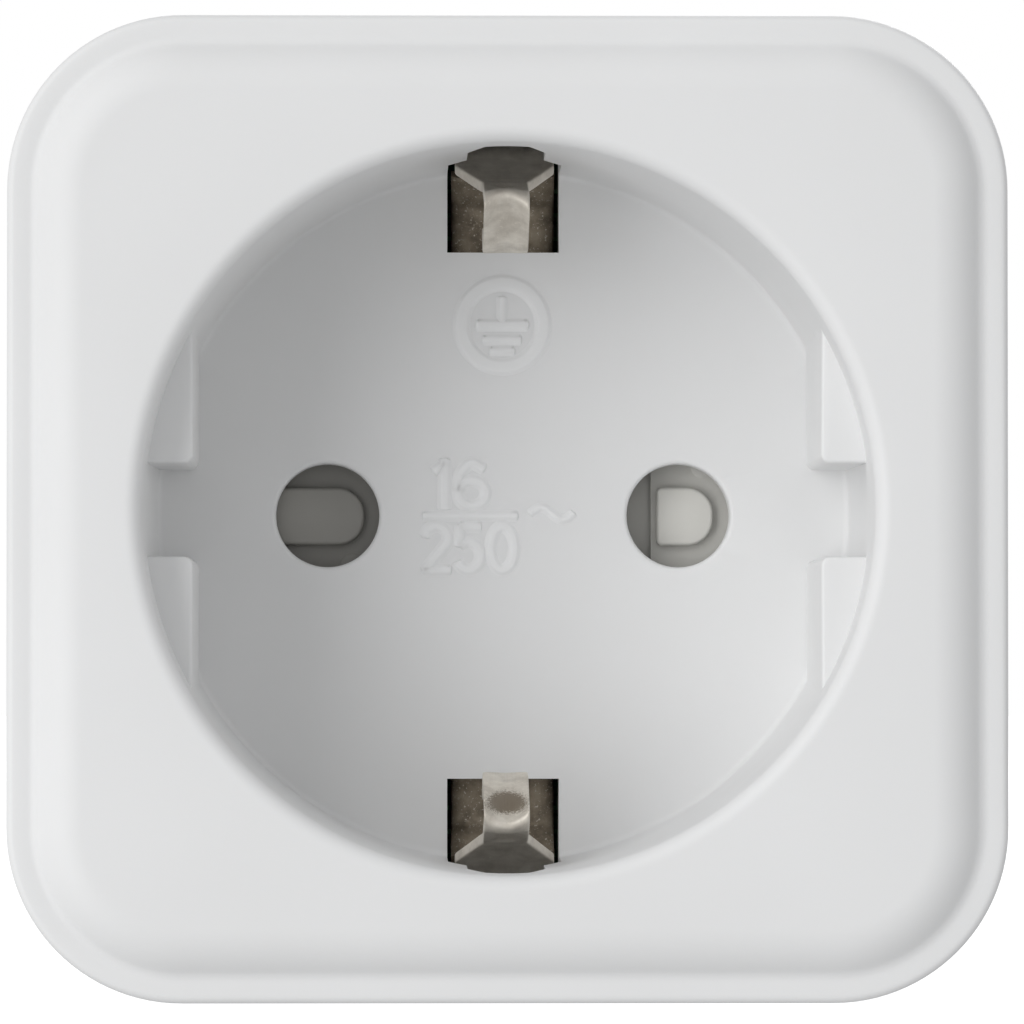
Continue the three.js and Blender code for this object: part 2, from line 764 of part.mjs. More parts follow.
// Split sleeve that grips a pin, with a solder tail; its axis is the group's own Y axis.
function mainsContact() {
  const start = CONTACT.slit / 2 - Math.PI / 2;
  const end = 1.5 * Math.PI - CONTACT.slit / 2;
  const section = new THREE.Shape();
  section.absarc(0, 0, CONTACT.outer, start, end, false);
  section.absarc(0, 0, CONTACT.inner, end, start, true);
  section.closePath();
  const front = CARRIER.front + 0.5;
  const sleeve = alongY(section, front, front + CONTACT.length, { curveSegments: 24 });
  const middle = (CONTACT.inner + CONTACT.outer) / 2;
  const tail = block(
    [-1, front + CONTACT.length - 1, middle - 0.25],
    [1, BOARD_Y - GAP, middle + 0.25],
  );
  return join(sleeve, tail);
}

// Link from the bracket back into the boss, where the plug's own earth parts begin.
function earthLink() {
  const behindStrap = FLOOR_BACK_Y + 2 * GAP + 1.5 * SHEET;
  const line = [
    [behindStrap, LINK.top],
    [behindStrap, LINK.height],
    [STRIP_LEG_Y - EARTH_STRIP.thickness / 2 - GAP, LINK.height],
  ];
  return alongX(bentSheet(line), -LINK.width / 2, LINK.width / 2);
}

// ---- plug side ----

function plugPin() {
  const shoulder = REAR_WALL_Y + 0.7;
  return turned([
    [0, BOARD_Y],
    [PIN_SHANK_RADIUS, BOARD_Y],
    [PIN_SHANK_RADIUS, shoulder],
    [PIN_RADIUS, shoulder],
    [PIN_RADIUS, PIN.length - PIN.tip],
    [PIN_RADIUS * 0.86, PIN.length - PIN.tip * 0.45],
    [PIN_RADIUS * 0.5, PIN.length],
    [0, PIN.length],
  ]);
}

function pinCarrier() {
  const { width, height, radius } = PIN_CARRIER;
  const body = alongY(roundedRectangle(width, height, radius), REAR_WALL_Y, -BOSS.endWall - GAP);
  const bores = bothSides(rod(PIN_RADIUS + GAP, REAR_WALL_Y - 1, 0, PIN_X));
  return cut(body, bores);
}

function plugEarthStrip() {
  const middle = EARTH_STRIP.radius - EARTH_STRIP.thickness / 2;
  const line = [
    [STRIP_LEG_Y, LINK.height + LINK.toStrip],
    [STRIP_LEG_Y, middle],
    [-1.8, middle],
    [-0.6, middle - 0.02],
  ];
  const half = EARTH_STRIP.width / 2;
  return alongX(bentSheet(line, EARTH_STRIP.thickness), -half, half);
}

function earthPinSocket() {
  const bore = EARTH_PIN_SOCKET.bore / 2;
  const end = EARTH_SOCKET_Y + EARTH_PIN_SOCKET.length;
  return turned([
    [0, EARTH_SOCKET_Y],
    [EARTH_SOCKET_RADIUS, EARTH_SOCKET_Y],
    [EARTH_SOCKET_RADIUS, end],
    [bore, end],
    [bore, EARTH_SOCKET_Y + 1],
    [0, EARTH_SOCKET_Y + 1],
  ]);
}

// ---- electronics ----

// Main board, pierced for the pins, the earth links and the rear posts.
function mainBoard() {
  const body = casePrism(CASE.wall + 2 * GAP, BOARD_Y, BOARD_BACK_Y);
  const links = bothEnds(
    block(
      [-LINK.width / 2 - GAP, BOARD_Y - 1, LINK.height - SHEET],
      [LINK.width / 2 + GAP, BOARD_BACK_Y + 1, LINK.height + SHEET],
    ),
  );
  const pins = bothSides(rod(PIN_SHANK_RADIUS + GAP, BOARD_Y - 1, BOARD_BACK_Y + 1, PIN_X));
  const posts = atCorners((x, z) =>
    rod(SCREW.rearPostRadius + GAP, BOARD_Y - 1, BOARD_BACK_Y + 1, x, z),
  );
  return cut(body, links, pins, posts);
}

// A component box standing on the main board.
function onBoard({ x, z, width, height, tall, corner }) {
  return alongY(roundedRectangle(width, height, corner, x, z), PARTS_Y - tall, PARTS_Y);
}

function bulkCapacitor(x) {
  const { z, radius, tall, rim, crimp, crimpWidth } = CAPACITOR;
  const front = PARTS_Y - tall;
  return turned(
    [
      [0, front],
      [radius - rim, front],
      [radius, front + rim],
      [radius, PARTS_Y - crimp - crimpWidth],
      [radius - rim, PARTS_Y - crimp],
      [radius, PARTS_Y - crimp + crimpWidth],
      [radius, PARTS_Y],
      [0, PARTS_Y],
    ],
    ROUND,
    x,
    z,
  );
}

function inductor() {
  const { x, z, flange, core, tall, flangeWidth } = INDUCTOR;
  const front = PARTS_Y - tall;
  const slope = 0.2;
  return turned(
    [
      [0, front],
      [flange, front],
      [flange, front + flangeWidth],
      [core, front + flangeWidth + slope],
      [core, PARTS_Y - flangeWidth - slope],
      [flange, PARTS_Y - flangeWidth],
      [flange, PARTS_Y],
      [0, PARTS_Y],
    ],
    ROUND,
    x,
    z,
  );
}

// Surge varistor: a flat disc lying along the bottom wall.
function varistor() {
  const { x, bottom, top, radius, clearance } = VARISTOR;
  return uprightRod(radius, bottom, top, x, PARTS_Y - radius - clearance);
}

function fuse() {
  const { x, z, radius, length, lift } = FUSE;
  const geometry = new THREE.CylinderGeometry(radius, radius, length, ROUND);
  geometry.rotateZ(Math.PI / 2);
  geometry.translate(x, PARTS_Y - radius - lift, z);
  return solid(geometry);
}

// Current shunt: a flat bridge of resistance alloy.
function shuntResistor() {
  const { left, right, bottom, top, tall, thickness } = SHUNT;
  const line = [
    [PARTS_Y, bottom],
    [PARTS_Y - tall, bottom],
    [PARTS_Y - tall, top],
    [PARTS_Y, top],
  ];
  return alongX(bentSheet(line, thickness), left, right);
}

// Pin strip that carries the radio board at right angles to the main board.
function boardHeader() {
  return onBoard({ ...HEADER, x: RADIO.x, z: RADIO_BOTTOM - HEADER.belowRadio });
}

// ---- radio board, button and status light ----

function radioBoard() {
  const back = BOARD_Y - GAP;
  return block(
    [RADIO.x - RADIO.width / 2, BUTTON_Y - RADIO.pastButton, RADIO_BOTTOM],
    [RADIO.x + RADIO.width / 2, back, RADIO_TOP],
  );
}

function radioShield() {
  const { width, length, tall, radius, fromBoard } = SHIELD;
  const middle = BOARD_Y - GAP - fromBoard;
  const outline = roundedRectangle(width, length, radius, RADIO.x, middle);
  return alongZ(outline, RADIO_BOTTOM - GAP - tall, RADIO_BOTTOM - GAP);
}

function buttonCap() {
  const { length, width, flange } = BUTTON;
  const crown = alongZ(pill(length, width, BUTTON.x, BUTTON_Y), FLANGE_BOTTOM, CAP_TOP);
  const rim = alongZ(
    pill(length + 2 * flange, width + 2 * flange, BUTTON.x, BUTTON_Y),
    FLANGE_BOTTOM,
    FLANGE_TOP,
  );
  return join(crown, rim);
}

function tactSwitch() {
  const { width, length, radius, belowCap } = TACT_SWITCH;
  const outline = roundedRectangle(width, length, radius, BUTTON.x, BUTTON_Y);
  const body = alongZ(outline, RADIO_TOP + GAP, FLANGE_BOTTOM - belowCap);
  const well = uprightRod(
    STEM.radius + GAP,
    STEM_BOTTOM - BUTTON.travel - 0.1,
    FLANGE_BOTTOM,
    BUTTON.x,
    BUTTON_Y,
  );
  return cut(body, well);
}

function tactSwitchStem() {
  return uprightRod(STEM.radius, STEM_BOTTOM, FLANGE_BOTTOM - GAP, BUTTON.x, BUTTON_Y);
}

function statusLed() {
  const { width, length, tall, radius } = LED;
  const outline = roundedRectangle(width, length, radius, LIGHT_X, BUTTON_Y);
  return alongZ(outline, RADIO_TOP + GAP, RADIO_TOP + GAP + tall);
}

function lightPipe() {
  const from = RADIO_TOP + GAP + LED.tall + GAP;
  return uprightRod(LIGHT_PIPE.radius, from, CAP_TOP, LIGHT_X, BUTTON_Y);
}

// ---- assembly ----

const meter = new THREE.Group();

meter.add(
  part("front_housing", frontHousing(), WHITE_PLASTIC()),
  part("rear_housing", rearHousing(), WHITE_PLASTIC()),
);

const socketSide = new THREE.Group();
socketSide.add(
  part("earth_bracket", earthBracket(), NICKEL()),
  part("earth_clip_upper", earthClip(), NICKEL()),
  part("earth_clip_lower", mirroredZ(earthClip()), NICKEL()),
  part("shutter", shutter(), GREY_PLASTIC()),
  part("contact_carrier", contactCarrier(), DARK_PLASTIC()),
  part("earth_link_upper", earthLink(), BRASS()),
  part("earth_link_lower", mirroredZ(earthLink()), BRASS()),
);

const springStart = -HALF_WIDTH + CASE.wall + GAP + SPRING.wireRadius;
const springEnd = SHUTTER_LEFT - GAP - SPRING.wireRadius;
const shutterSpring = part("shutter_spring", coilSpring(springEnd - springStart), STEEL());
shutterSpring.position.set(springStart, SHUTTER_BACK_Y - SHUTTER.thickness / 2, 0);
socketSide.add(shutterSpring);

for (const [name, x] of [["line_contact", -PIN_X], ["neutral_contact", PIN_X]]) {
  const contact = part(name, mainsContact(), BRASS());
  contact.position.x = x;
  socketSide.add(contact);
}
meter.add(socketSide);

const plugSide = new THREE.Group();
plugSide.add(
  part("pin_carrier", pinCarrier(), DARK_PLASTIC()),
  part("plug_earth_strip_upper", plugEarthStrip(), NICKEL()),
  part("plug_earth_strip_lower", mirroredZ(plugEarthStrip()), NICKEL()),
);
for (const [name, x] of [["line_pin", -PIN_X], ["neutral_pin", PIN_X]]) {
  const pin = part(name, plugPin(), NICKEL());
  pin.position.x = x;
  plugSide.add(pin);
}
const earthSocket = part("earth_pin_socket", earthPinSocket(), NICKEL());
earthSocket.position.z = EARTH_PIN_SOCKET.offset;
plugSide.add(earthSocket);
meter.add(plugSide);

const electronics = new THREE.Group();
electronics.add(
  part("main_board", mainBoard(), BOARD_GREEN()),
  part("relay", onBoard(RELAY), SLEEVE_BLACK()),
  part("x_capacitor", onBoard(FILM_CAPACITOR), YELLOW_PLASTIC()),
  part("bulk_capacitor_1", bulkCapacitor(CAPACITOR.x[0]), SLEEVE_BLACK()),
  part("bulk_capacitor_2", bulkCapacitor(CAPACITOR.x[1]), SLEEVE_BLACK()),
  part("varistor", varistor(), BLUE_COATING()),
  part("fuse", fuse(), CLEAR_PLASTIC()),
  part("inductor", inductor(), DARK_PLASTIC()),
  part("shunt_resistor", shuntResistor(), BRASS()),
  part("metering_chip", onBoard(METER_CHIP), DARK_PLASTIC()),
  part("supply_chip", onBoard(SUPPLY_CHIP), DARK_PLASTIC()),
  part("board_header", boardHeader(), DARK_PLASTIC()),
  part("radio_board", radioBoard(), BOARD_GREEN()),
  part("radio_shield", radioShield(), STEEL()),
  part("tact_switch", tactSwitch(), DARK_PLASTIC()),
  part("tact_switch_stem", tactSwitchStem(), DARK_PLASTIC()),
  part("status_led", statusLed(), CLEAR_PLASTIC()),
  part("light_pipe", lightPipe(), CLEAR_PLASTIC()),
  part("button_cap", buttonCap(), WHITE_PLASTIC()),
);
meter.add(electronics);

const corners = [[-1, 1], [1, 1], [-1, -1], [1, -1]];
corners.forEach(([side, end], index) => {
  const screw = part(`housing_screw_${index + 1}`, housingScrew(), STEEL());
  screw.position.set(side * SCREW_X, 0, end * SCREW_Z);
  meter.add(screw);
});

export default meter;
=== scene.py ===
"""Plug-in power meter: a compact mains adapter, socket in front and plug behind.

Metres. +Y is the way the plug's pins point, +X is right seen from the socket side, +Z is up.
The sections follow the object as it is put together, from the casing inwards.
"""
import math

import bpy
import numpy as np
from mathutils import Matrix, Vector


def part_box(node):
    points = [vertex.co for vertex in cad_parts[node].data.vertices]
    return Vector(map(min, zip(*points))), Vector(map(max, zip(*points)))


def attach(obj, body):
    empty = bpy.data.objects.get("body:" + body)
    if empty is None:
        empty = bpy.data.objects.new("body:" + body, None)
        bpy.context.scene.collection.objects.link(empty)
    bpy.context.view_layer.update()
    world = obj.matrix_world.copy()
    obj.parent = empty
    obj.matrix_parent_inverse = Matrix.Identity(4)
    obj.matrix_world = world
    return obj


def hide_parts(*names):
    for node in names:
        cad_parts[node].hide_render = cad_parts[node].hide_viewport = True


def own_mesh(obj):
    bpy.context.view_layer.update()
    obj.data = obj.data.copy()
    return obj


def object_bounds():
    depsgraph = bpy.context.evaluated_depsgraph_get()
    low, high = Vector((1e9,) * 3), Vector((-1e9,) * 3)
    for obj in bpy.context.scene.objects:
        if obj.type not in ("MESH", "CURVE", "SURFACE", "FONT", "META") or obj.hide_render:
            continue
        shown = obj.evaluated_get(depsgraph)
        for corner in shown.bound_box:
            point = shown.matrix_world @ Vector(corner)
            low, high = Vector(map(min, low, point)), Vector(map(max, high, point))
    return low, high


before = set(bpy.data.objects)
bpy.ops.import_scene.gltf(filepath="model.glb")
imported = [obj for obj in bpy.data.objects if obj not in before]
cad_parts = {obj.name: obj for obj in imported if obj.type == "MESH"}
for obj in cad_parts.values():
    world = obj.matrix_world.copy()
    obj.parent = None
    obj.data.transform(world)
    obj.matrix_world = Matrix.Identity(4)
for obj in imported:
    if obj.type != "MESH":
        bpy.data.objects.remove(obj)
cad_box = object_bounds()
MM = 0.001

# ---------------------------------------------------------------------------------------------
# Front housing. One moulding in white polycarbonate: a case with a raised, rounded face and a
# rim around it, and the socket well with its guide ribs, slots and pin holes. Four screws from
# behind hold it to the rear housing.
# ---------------------------------------------------------------------------------------------

front_low, front_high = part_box("front_housing")
FACE_Y = front_low.y
SEAM_Y = front_high.y
HALF_WIDTH = front_high.x
HALF_HEIGHT = front_high.z
CORNER = 9.1 * MM
RIM_Y = FACE_Y + 1.3 * MM
WELL_DEPTH = 17.5 * MM
FLOOR_Y = FACE_Y + WELL_DEPTH
FLOOR_BACK = FLOOR_Y + 2 * MM
MOUTH = 19.05 * MM
WELL_FLOOR = 18.75 * MM
BARREL = 20.9 * MM
WALL = 2 * MM
AROUND = 384


def square_reach(angle, inset):
    """Distance from the axis to the case's outline in each direction: straight sides, and a
    corner arc where the ray meets neither side."""
    across, up = np.abs(np.cos(angle)), np.abs(np.sin(angle))
    wide, high = HALF_WIDTH - inset, HALF_HEIGHT - inset
    radius = max(CORNER - inset, 0.05 * MM)
    cx, cz = wide - radius, high - radius
    middle = across * cx + up * cz
    corner = middle + np.sqrt(np.maximum(middle**2 - cx**2 - cz**2 + radius**2, 0))
    side = wide / np.maximum(across, 1e-9)
    top = high / np.maximum(up, 1e-9)
    reach = np.where(side * up <= cz, side, corner)
    return np.where(top * across <= cx, top, reach)


def case_rings(profile):
    """One ring for each row of the profile. A row is (kind, size, y): a "round" row is a circle
    of that radius, and a "case" row is the case's outline moved in by that inset."""
    angle = np.linspace(0, 2 * np.pi, AROUND, endpoint=False) + np.pi / AROUND
    rings = np.empty((len(profile), AROUND, 3))
    for row, (kind, size, y) in enumerate(profile):
        reach = square_reach(angle, size) if kind == "case" else np.full(AROUND, size)
        rings[row] = np.stack([reach * np.cos(angle), np.full(AROUND, y), reach * np.sin(angle)], 1)
    return rings


def arc(centre, radius, start, end, steps):
    """Points on a circle's arc: centre plus radius times (cos, sin) of angles in degrees."""
    turn = np.radians(np.linspace(start, end, steps))
    return np.stack([centre[0] + radius * np.cos(turn), centre[1] + radius * np.sin(turn)], 1)


def mesh_piece(name, points, corners, sizes, smooth=50):
    """A mesh object at the origin from its points, the point numbers of its faces' corners one
    after another, and each face's number of corners. Its edges are sharp past an angle."""
    mesh = bpy.data.meshes.new(name)
    mesh.vertices.add(len(points))
    mesh.vertices.foreach_set("co", points.ravel())
    mesh.loops.add(len(corners))
    mesh.loops.foreach_set("vertex_index", corners)
    mesh.polygons.add(len(sizes))
    mesh.polygons.foreach_set("loop_start", np.cumsum(sizes) - sizes)
    mesh.update(calc_edges=True)
    mesh.validate()
    piece = bpy.data.objects.new(name, mesh)
    bpy.context.scene.collection.objects.link(piece)
    shade(piece, smooth)
    return piece


def shade(piece, angle):
    """Smooth shading, with sharp edges where two faces meet at more than an angle in degrees."""
    mesh = piece.data
    mesh.shade_smooth()
    mesh.set_sharp_from_angle(angle=math.radians(angle))


def ring_faces(rows, count, closed_path=False):
    """Quads between neighbouring rings, as an array of point numbers. The point at (row, column)
    has number row * count + column, and both wrap round where the path is closed."""
    spans = rows if closed_path else rows - 1
    row, column = np.meshgrid(np.arange(spans), np.arange(count), indexing="ij")
    following = (column + 1) % count
    above = (row + 1) % rows
    quads = np.stack([row * count + column, row * count + following,
                      above * count + following, above * count + column], -1)
    return quads.reshape(-1, 4)


def lofted(name, rings, smooth=50):
    """A closed skin through a stack of rings, capped at both ends by a fan from the ring's middle."""
    rows, count, _ = rings.shape
    points = np.concatenate([rings.reshape(-1, 3), rings[0].mean(0)[None], rings[-1].mean(0)[None]])
    first, last = rows * count, rows * count + 1
    column = np.arange(count)
    following = (column + 1) % count
    start = np.stack([following, column, np.full(count, first)], 1)
    base = (rows - 1) * count
    end = np.stack([base + column, base + following, np.full(count, last)], 1)
    quads = ring_faces(rows, count)
    corners = np.concatenate([quads.ravel(), start.ravel(), end.ravel()])
    sizes = np.repeat([4, 3], [len(quads), 2 * count])
    piece = mesh_piece(name, points, corners, sizes, smooth)
    face_out(piece, smooth)
    return piece


def read(items, value, width=1, kind=float):
    """One value of all of a mesh's items as an array, with a row of that width for each item."""
    values = np.empty(len(items) * width, kind)
    items.foreach_get(value, values)
    return values.reshape(-1, width) if width > 1 else values


def face_out(piece, smooth=50):
    """Turns a closed mesh's faces outwards if the volume they enclose comes out negative."""
    mesh = piece.data
    mesh.calc_loop_triangles()
    triangles = read(mesh.loop_triangles, "vertices", 3, np.int32)
    a, b, c = read(mesh.vertices, "co", 3)[triangles].transpose(1, 0, 2)
    if np.einsum("ij,ij->i", a, np.cross(b, c)).sum() < 0:
        mesh.flip_normals()
    shade(piece, smooth)


def carved(piece, tool, operation, smooth=50):
    """Joins or cuts a piece with a tool and drops the tool."""
    change = piece.modifiers.new("carve", "BOOLEAN")
    change.operation = operation
    change.object = tool
    change.solver = "MANIFOLD"
    bpy.context.view_layer.update()
    evaluated = piece.evaluated_get(bpy.context.evaluated_depsgraph_get())
    result = bpy.data.meshes.new_from_object(evaluated)
    piece.modifiers.clear()
    old, piece.data = piece.data, result
    result.name = piece.name
    bpy.data.meshes.remove(old)
    bpy.data.objects.remove(tool)
    shade(piece, smooth)
    return piece


def merged(name, pieces):
    """One object that holds the meshes of several: their points and faces in one row, where each
    mesh's point numbers start after the points of those before it."""
    meshes = [piece.data for piece in pieces]
    starts = np.cumsum([0] + [len(mesh.vertices) for mesh in meshes])
    points = np.concatenate([read(mesh.vertices, "co", 3) for mesh in meshes])
    corners = np.concatenate([start + read(mesh.loops, "vertex_index", 1, np.int32)
                              for start, mesh in zip(starts, meshes)])
    sizes = np.concatenate([read(mesh.polygons, "loop_total", 1, np.int32) for mesh in meshes])
    for piece in pieces:
        bpy.data.objects.remove(piece)
    return mesh_piece(name, points, corners, sizes)


def inset_outline(outline, distance):
    """A closed outline, counter-clockwise, moved inwards by a distance along its mitred normals.
    At a sharp corner the mitre is limited, so that a narrow tip doesn't run far."""
    back = outline - np.roll(outline, 1, 0)
    ahead = np.roll(outline, -1, 0) - outline
    back /= np.linalg.norm(back, axis=1)[:, None]
    ahead /= np.linalg.norm(ahead, axis=1)[:, None]
    way = back + ahead
    way /= np.linalg.norm(way, axis=1)[:, None]
    normal = np.stack([-way[:, 1], way[:, 0]], 1)
    sharpest_mitre = 0.4
    mitre = np.maximum(np.einsum("ij,ij->i", way, ahead), sharpest_mitre)
    return outline + normal * (distance / mitre)[:, None]


def prism(name, outline, start, end, edge=0.0, axis="y", both=False, smooth=50):
    """An outline carried along an axis. Its start edge, and with both its end edge too, is
    rounded by a quarter circle of the given radius."""
    turn = np.radians(np.linspace(0, 90, 5 if edge else 1))
    rows = [(edge * (1 - np.sin(t)), start + edge * (1 - np.cos(t))) for t in turn] if edge else [(0, start)]
    ends = [(inset, start + end - along) for inset, along in rows[::-1]] if both and edge else [(0, end)]
    rings = []
    for inset, along in [*rows, *ends]:
        flat = inset_outline(outline, inset) if inset else outline
        along = np.full(len(flat), along)
        order = {"y": (flat[:, 0], along, flat[:, 1]), "z": (flat[:, 0], flat[:, 1], along),
                 "x": (along, flat[:, 0], flat[:, 1])}[axis]
        rings.append(np.stack(order, 1))
    return lofted(name, np.array(rings), smooth)


def rounded_corners(corners, radii, steps=6):
    """A polygon whose corners are rounded by arcs that touch both sides."""
    corners = np.asarray(corners, float)
    points = []
    for number, (corner, radius) in enumerate(zip(corners, radii)):
        before = corners[number - 1] - corner
        after = corners[(number + 1) % len(corners)] - corner
        before /= np.linalg.norm(before)
        after /= np.linalg.norm(after)
        if not radius:
            points.append(corner[None])
            continue
        half = math.acos(np.clip(before @ after, -1, 1)) / 2
        reach = radius / math.tan(half)
        middle = (before + after) / np.linalg.norm(before + after) * radius / math.sin(half)
        first = before * reach - middle
        last = after * reach - middle
        share = np.linspace(0, 1, steps)[:, None]
        spokes = first * (1 - share) + last * share
        points.append(corner + middle + spokes / np.linalg.norm(spokes, axis=1)[:, None] * radius)
    return np.concatenate(points)


def turned(name, profile, x=0.0, z=0.0, count=96, smooth=40):
    """A profile of (radius, y) rows turned about a line along Y: a row's points are at the
    line plus its radius times (cos, sin) of evenly spaced angles."""
    angle = np.linspace(0, 2 * np.pi, count, endpoint=False)
    radius, along = np.array(profile).T[:, :, None]
    place = np.broadcast_arrays(x + radius * np.cos(angle), along, z + radius * np.sin(angle))
    return lofted(name, np.stack(place, -1), smooth)


def front_profile():
    """Rows from the middle of the well's floor, out over the face, down the side to the seam, and
    back inside to the middle of the floor's other side."""
    floor_fillet, mouth_round, edge_round, seam_round = 0.35 * MM, 0.85 * MM, 0.4 * MM, 0.2 * MM
    shoulder, rise = 2.5 * MM, RIM_Y - FACE_Y
    shoulder_inset = 4.0 * MM
    valley, crown = 0.45 * MM, 0.01 * MM
    rows = [("round", size, FLOOR_Y) for size in np.array([0.5, 4, 8, 12, 16]) * MM]
    corner = arc((WELL_FLOOR - floor_fillet, FLOOR_Y - floor_fillet), floor_fillet, 90, 0, 5)
    rows += [("round", size, y) for size, y in corner]
    depths = np.linspace(FLOOR_Y - 2 * floor_fillet, FACE_Y + 1.3 * mouth_round, 12)
    draft = (MOUTH - WELL_FLOOR) / WELL_DEPTH
    rows += [("round", MOUTH - draft * (y - FACE_Y), y) for y in depths]
    mouth = arc((MOUTH + mouth_round, FACE_Y + mouth_round), mouth_round, 180, 270, 10)
    rows += [("round", size, y) for size, y in mouth]
    # the shoulder is an arc that leaves the face level and ends near its full slope
    slope = 2 * math.degrees(math.atan(rise / shoulder))
    bend = shoulder / math.sin(math.radians(slope))
    crest = arc((0, FACE_Y + bend), bend, -90, -90 + slope * 0.93, 14)
    rows += [("case", shoulder_inset - out, y) for out, y in crest]
    last_out, last_y = crest[-1]
    last_inset = shoulder_inset - last_out
    # a parabola levels the valley out into the rim, which is slightly crowned
    rows += [("case", last_inset - valley * share, last_y + (RIM_Y - last_y) * (1 - (1 - share) ** 2))
             for share in np.linspace(0, 1, 6)[1:]]
    rim_inner = last_inset - valley
    for share in np.linspace(0, 1, 6)[1:-1]:
        inset = rim_inner + (edge_round - rim_inner) * share
        rows.append(("case", inset, RIM_Y - crown * math.sin(math.pi * share)))
    edge = arc((0, RIM_Y + edge_round), edge_round, -90, 0, 8)
    rows += [("case", edge_round - out, y) for out, y in edge]
    rows += [("case", 0, y) for y in np.linspace(RIM_Y + 2 * edge_round, SEAM_Y - 0.5 * MM, 6)]
    seam = arc((0, SEAM_Y - seam_round), seam_round, 0, 90, 4)
    rows += [("case", seam_round - out, y) for out, y in seam]
    back = RIM_Y + 2.2 * MM
    rows += [("case", WALL, SEAM_Y), ("case", WALL, back), ("round", BARREL, back),
             ("round", BARREL, FLOOR_BACK), ("round", 10 * MM, FLOOR_BACK), ("round", 0.5 * MM, FLOOR_BACK)]
    return rows


front = lofted("front_moulding", case_rings(front_profile()))

# Guide ribs: four blocks along the well's sides whose flats stand 32.9 mm apart. Their outer
# corners lie inside the well's wall.
RIB_FLAT = 16.45 * MM
KEYWAY = 2.45 * MM
RIB_END = 9.8 * MM
RIB_START = FACE_Y + 4.0 * MM
QUARTERS = [(-1, -1), (-1, 1), (1, -1), (1, 1)]
ribs = []
for side, end in QUARTERS:
    corners = [(RIB_FLAT, KEYWAY), (20.4 * MM, KEYWAY), (18 * MM, RIB_END), (RIB_FLAT, RIB_END)]
    outline = rounded_corners(corners, [0.45 * MM, 0, 0, 0.3 * MM]) * (side, end)
    if side * end < 0:
        outline = outline[::-1]
    ribs.append(prism("rib", outline, RIB_START, FLOOR_Y + 0.8 * MM, edge=0.18 * MM))
carved(front, merged("ribs", ribs), "UNION")

# Pin holes with a slight round at the floor, and the stepped slots for the earth clips. A cutter
# passes a surface by a hair where it would otherwise end in it.
PIN_X = 9.5 * MM
HAIR = 0.001 * MM
HOLE, HOLE_ROUND = 2.8 * MM, 0.25 * MM
pin_hole = [(HOLE + 0.6 * MM, FLOOR_Y - 0.3 * MM), (HOLE + HOLE_ROUND, FLOOR_Y - HAIR)]
pin_hole += arc((HOLE + HOLE_ROUND, FLOOR_Y + HOLE_ROUND), HOLE_ROUND, 270, 180, 6).tolist()
pin_hole += [(HOLE, FLOOR_BACK + 1 * MM)]
cutters = [turned("cut", pin_hole, x=side * PIN_X) for side in (-1, 1)]


def slot_outline():
    """The slot in width and depth, seen along Z: three widths joined by short slopes."""
    right = [(1.15, 3.2), (2.05, 6.0), (2.05, 10.4), (3.025, 12.1), (3.025, 22)]
    left = [(-across, along) for across, along in right[::-1]]
    points = np.array(right + left) * MM
    points[:, 1] += FACE_Y
    return points


SLOT_INNER, SLOT_OUTER = 14.25 * MM, 22.2 * MM
for low, high in ((-SLOT_OUTER, -SLOT_INNER), (SLOT_INNER, SLOT_OUTER)):
    cutters.append(prism("cut", slot_outline(), low, high, axis="z"))

# Openings in the top wall for the button and the light pipe.
cap_low, cap_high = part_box("button_cap")
pipe_low, pipe_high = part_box("light_pipe")
BUTTON_MIDDLE = ((cap_low.x + cap_high.x) / 2, (cap_low.y + cap_high.y) / 2)
PIPE_MIDDLE = ((pipe_low.x + pipe_high.x) / 2, (pipe_low.y + pipe_high.y) / 2)


def pill(length, width, middle, steps=16):
    """An outline with straight sides and two half-round ends, long in X."""
    straight = length / 2 - width / 2
    right = arc((straight, 0), width / 2, -90, 90, steps)
    left = arc((-straight, 0), width / 2, 90, 270, steps)
    return np.concatenate([right, left]) + middle


for outline in (pill(7.0 * MM, 4.2 * MM, BUTTON_MIDDLE), arc(PIPE_MIDDLE, 1.5 * MM, 0, 348.75, 32)):
    cutters.append(prism("cut", outline, HALF_HEIGHT - 3.7 * MM, HALF_HEIGHT + 1.3 * MM, axis="z"))
carved(front, merged("cuts", cutters), "DIFFERENCE")
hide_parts("front_housing")
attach(front, "housing")

# ---------------------------------------------------------------------------------------------
# Raised markings on the well's floor, moulded with it: the general symbol for protective earth
# and the rating of such a socket, in plain rounded strokes about 0.5 mm wide and 0.11 mm high.
# ---------------------------------------------------------------------------------------------

MARK_HIGH = 0.11 * MM


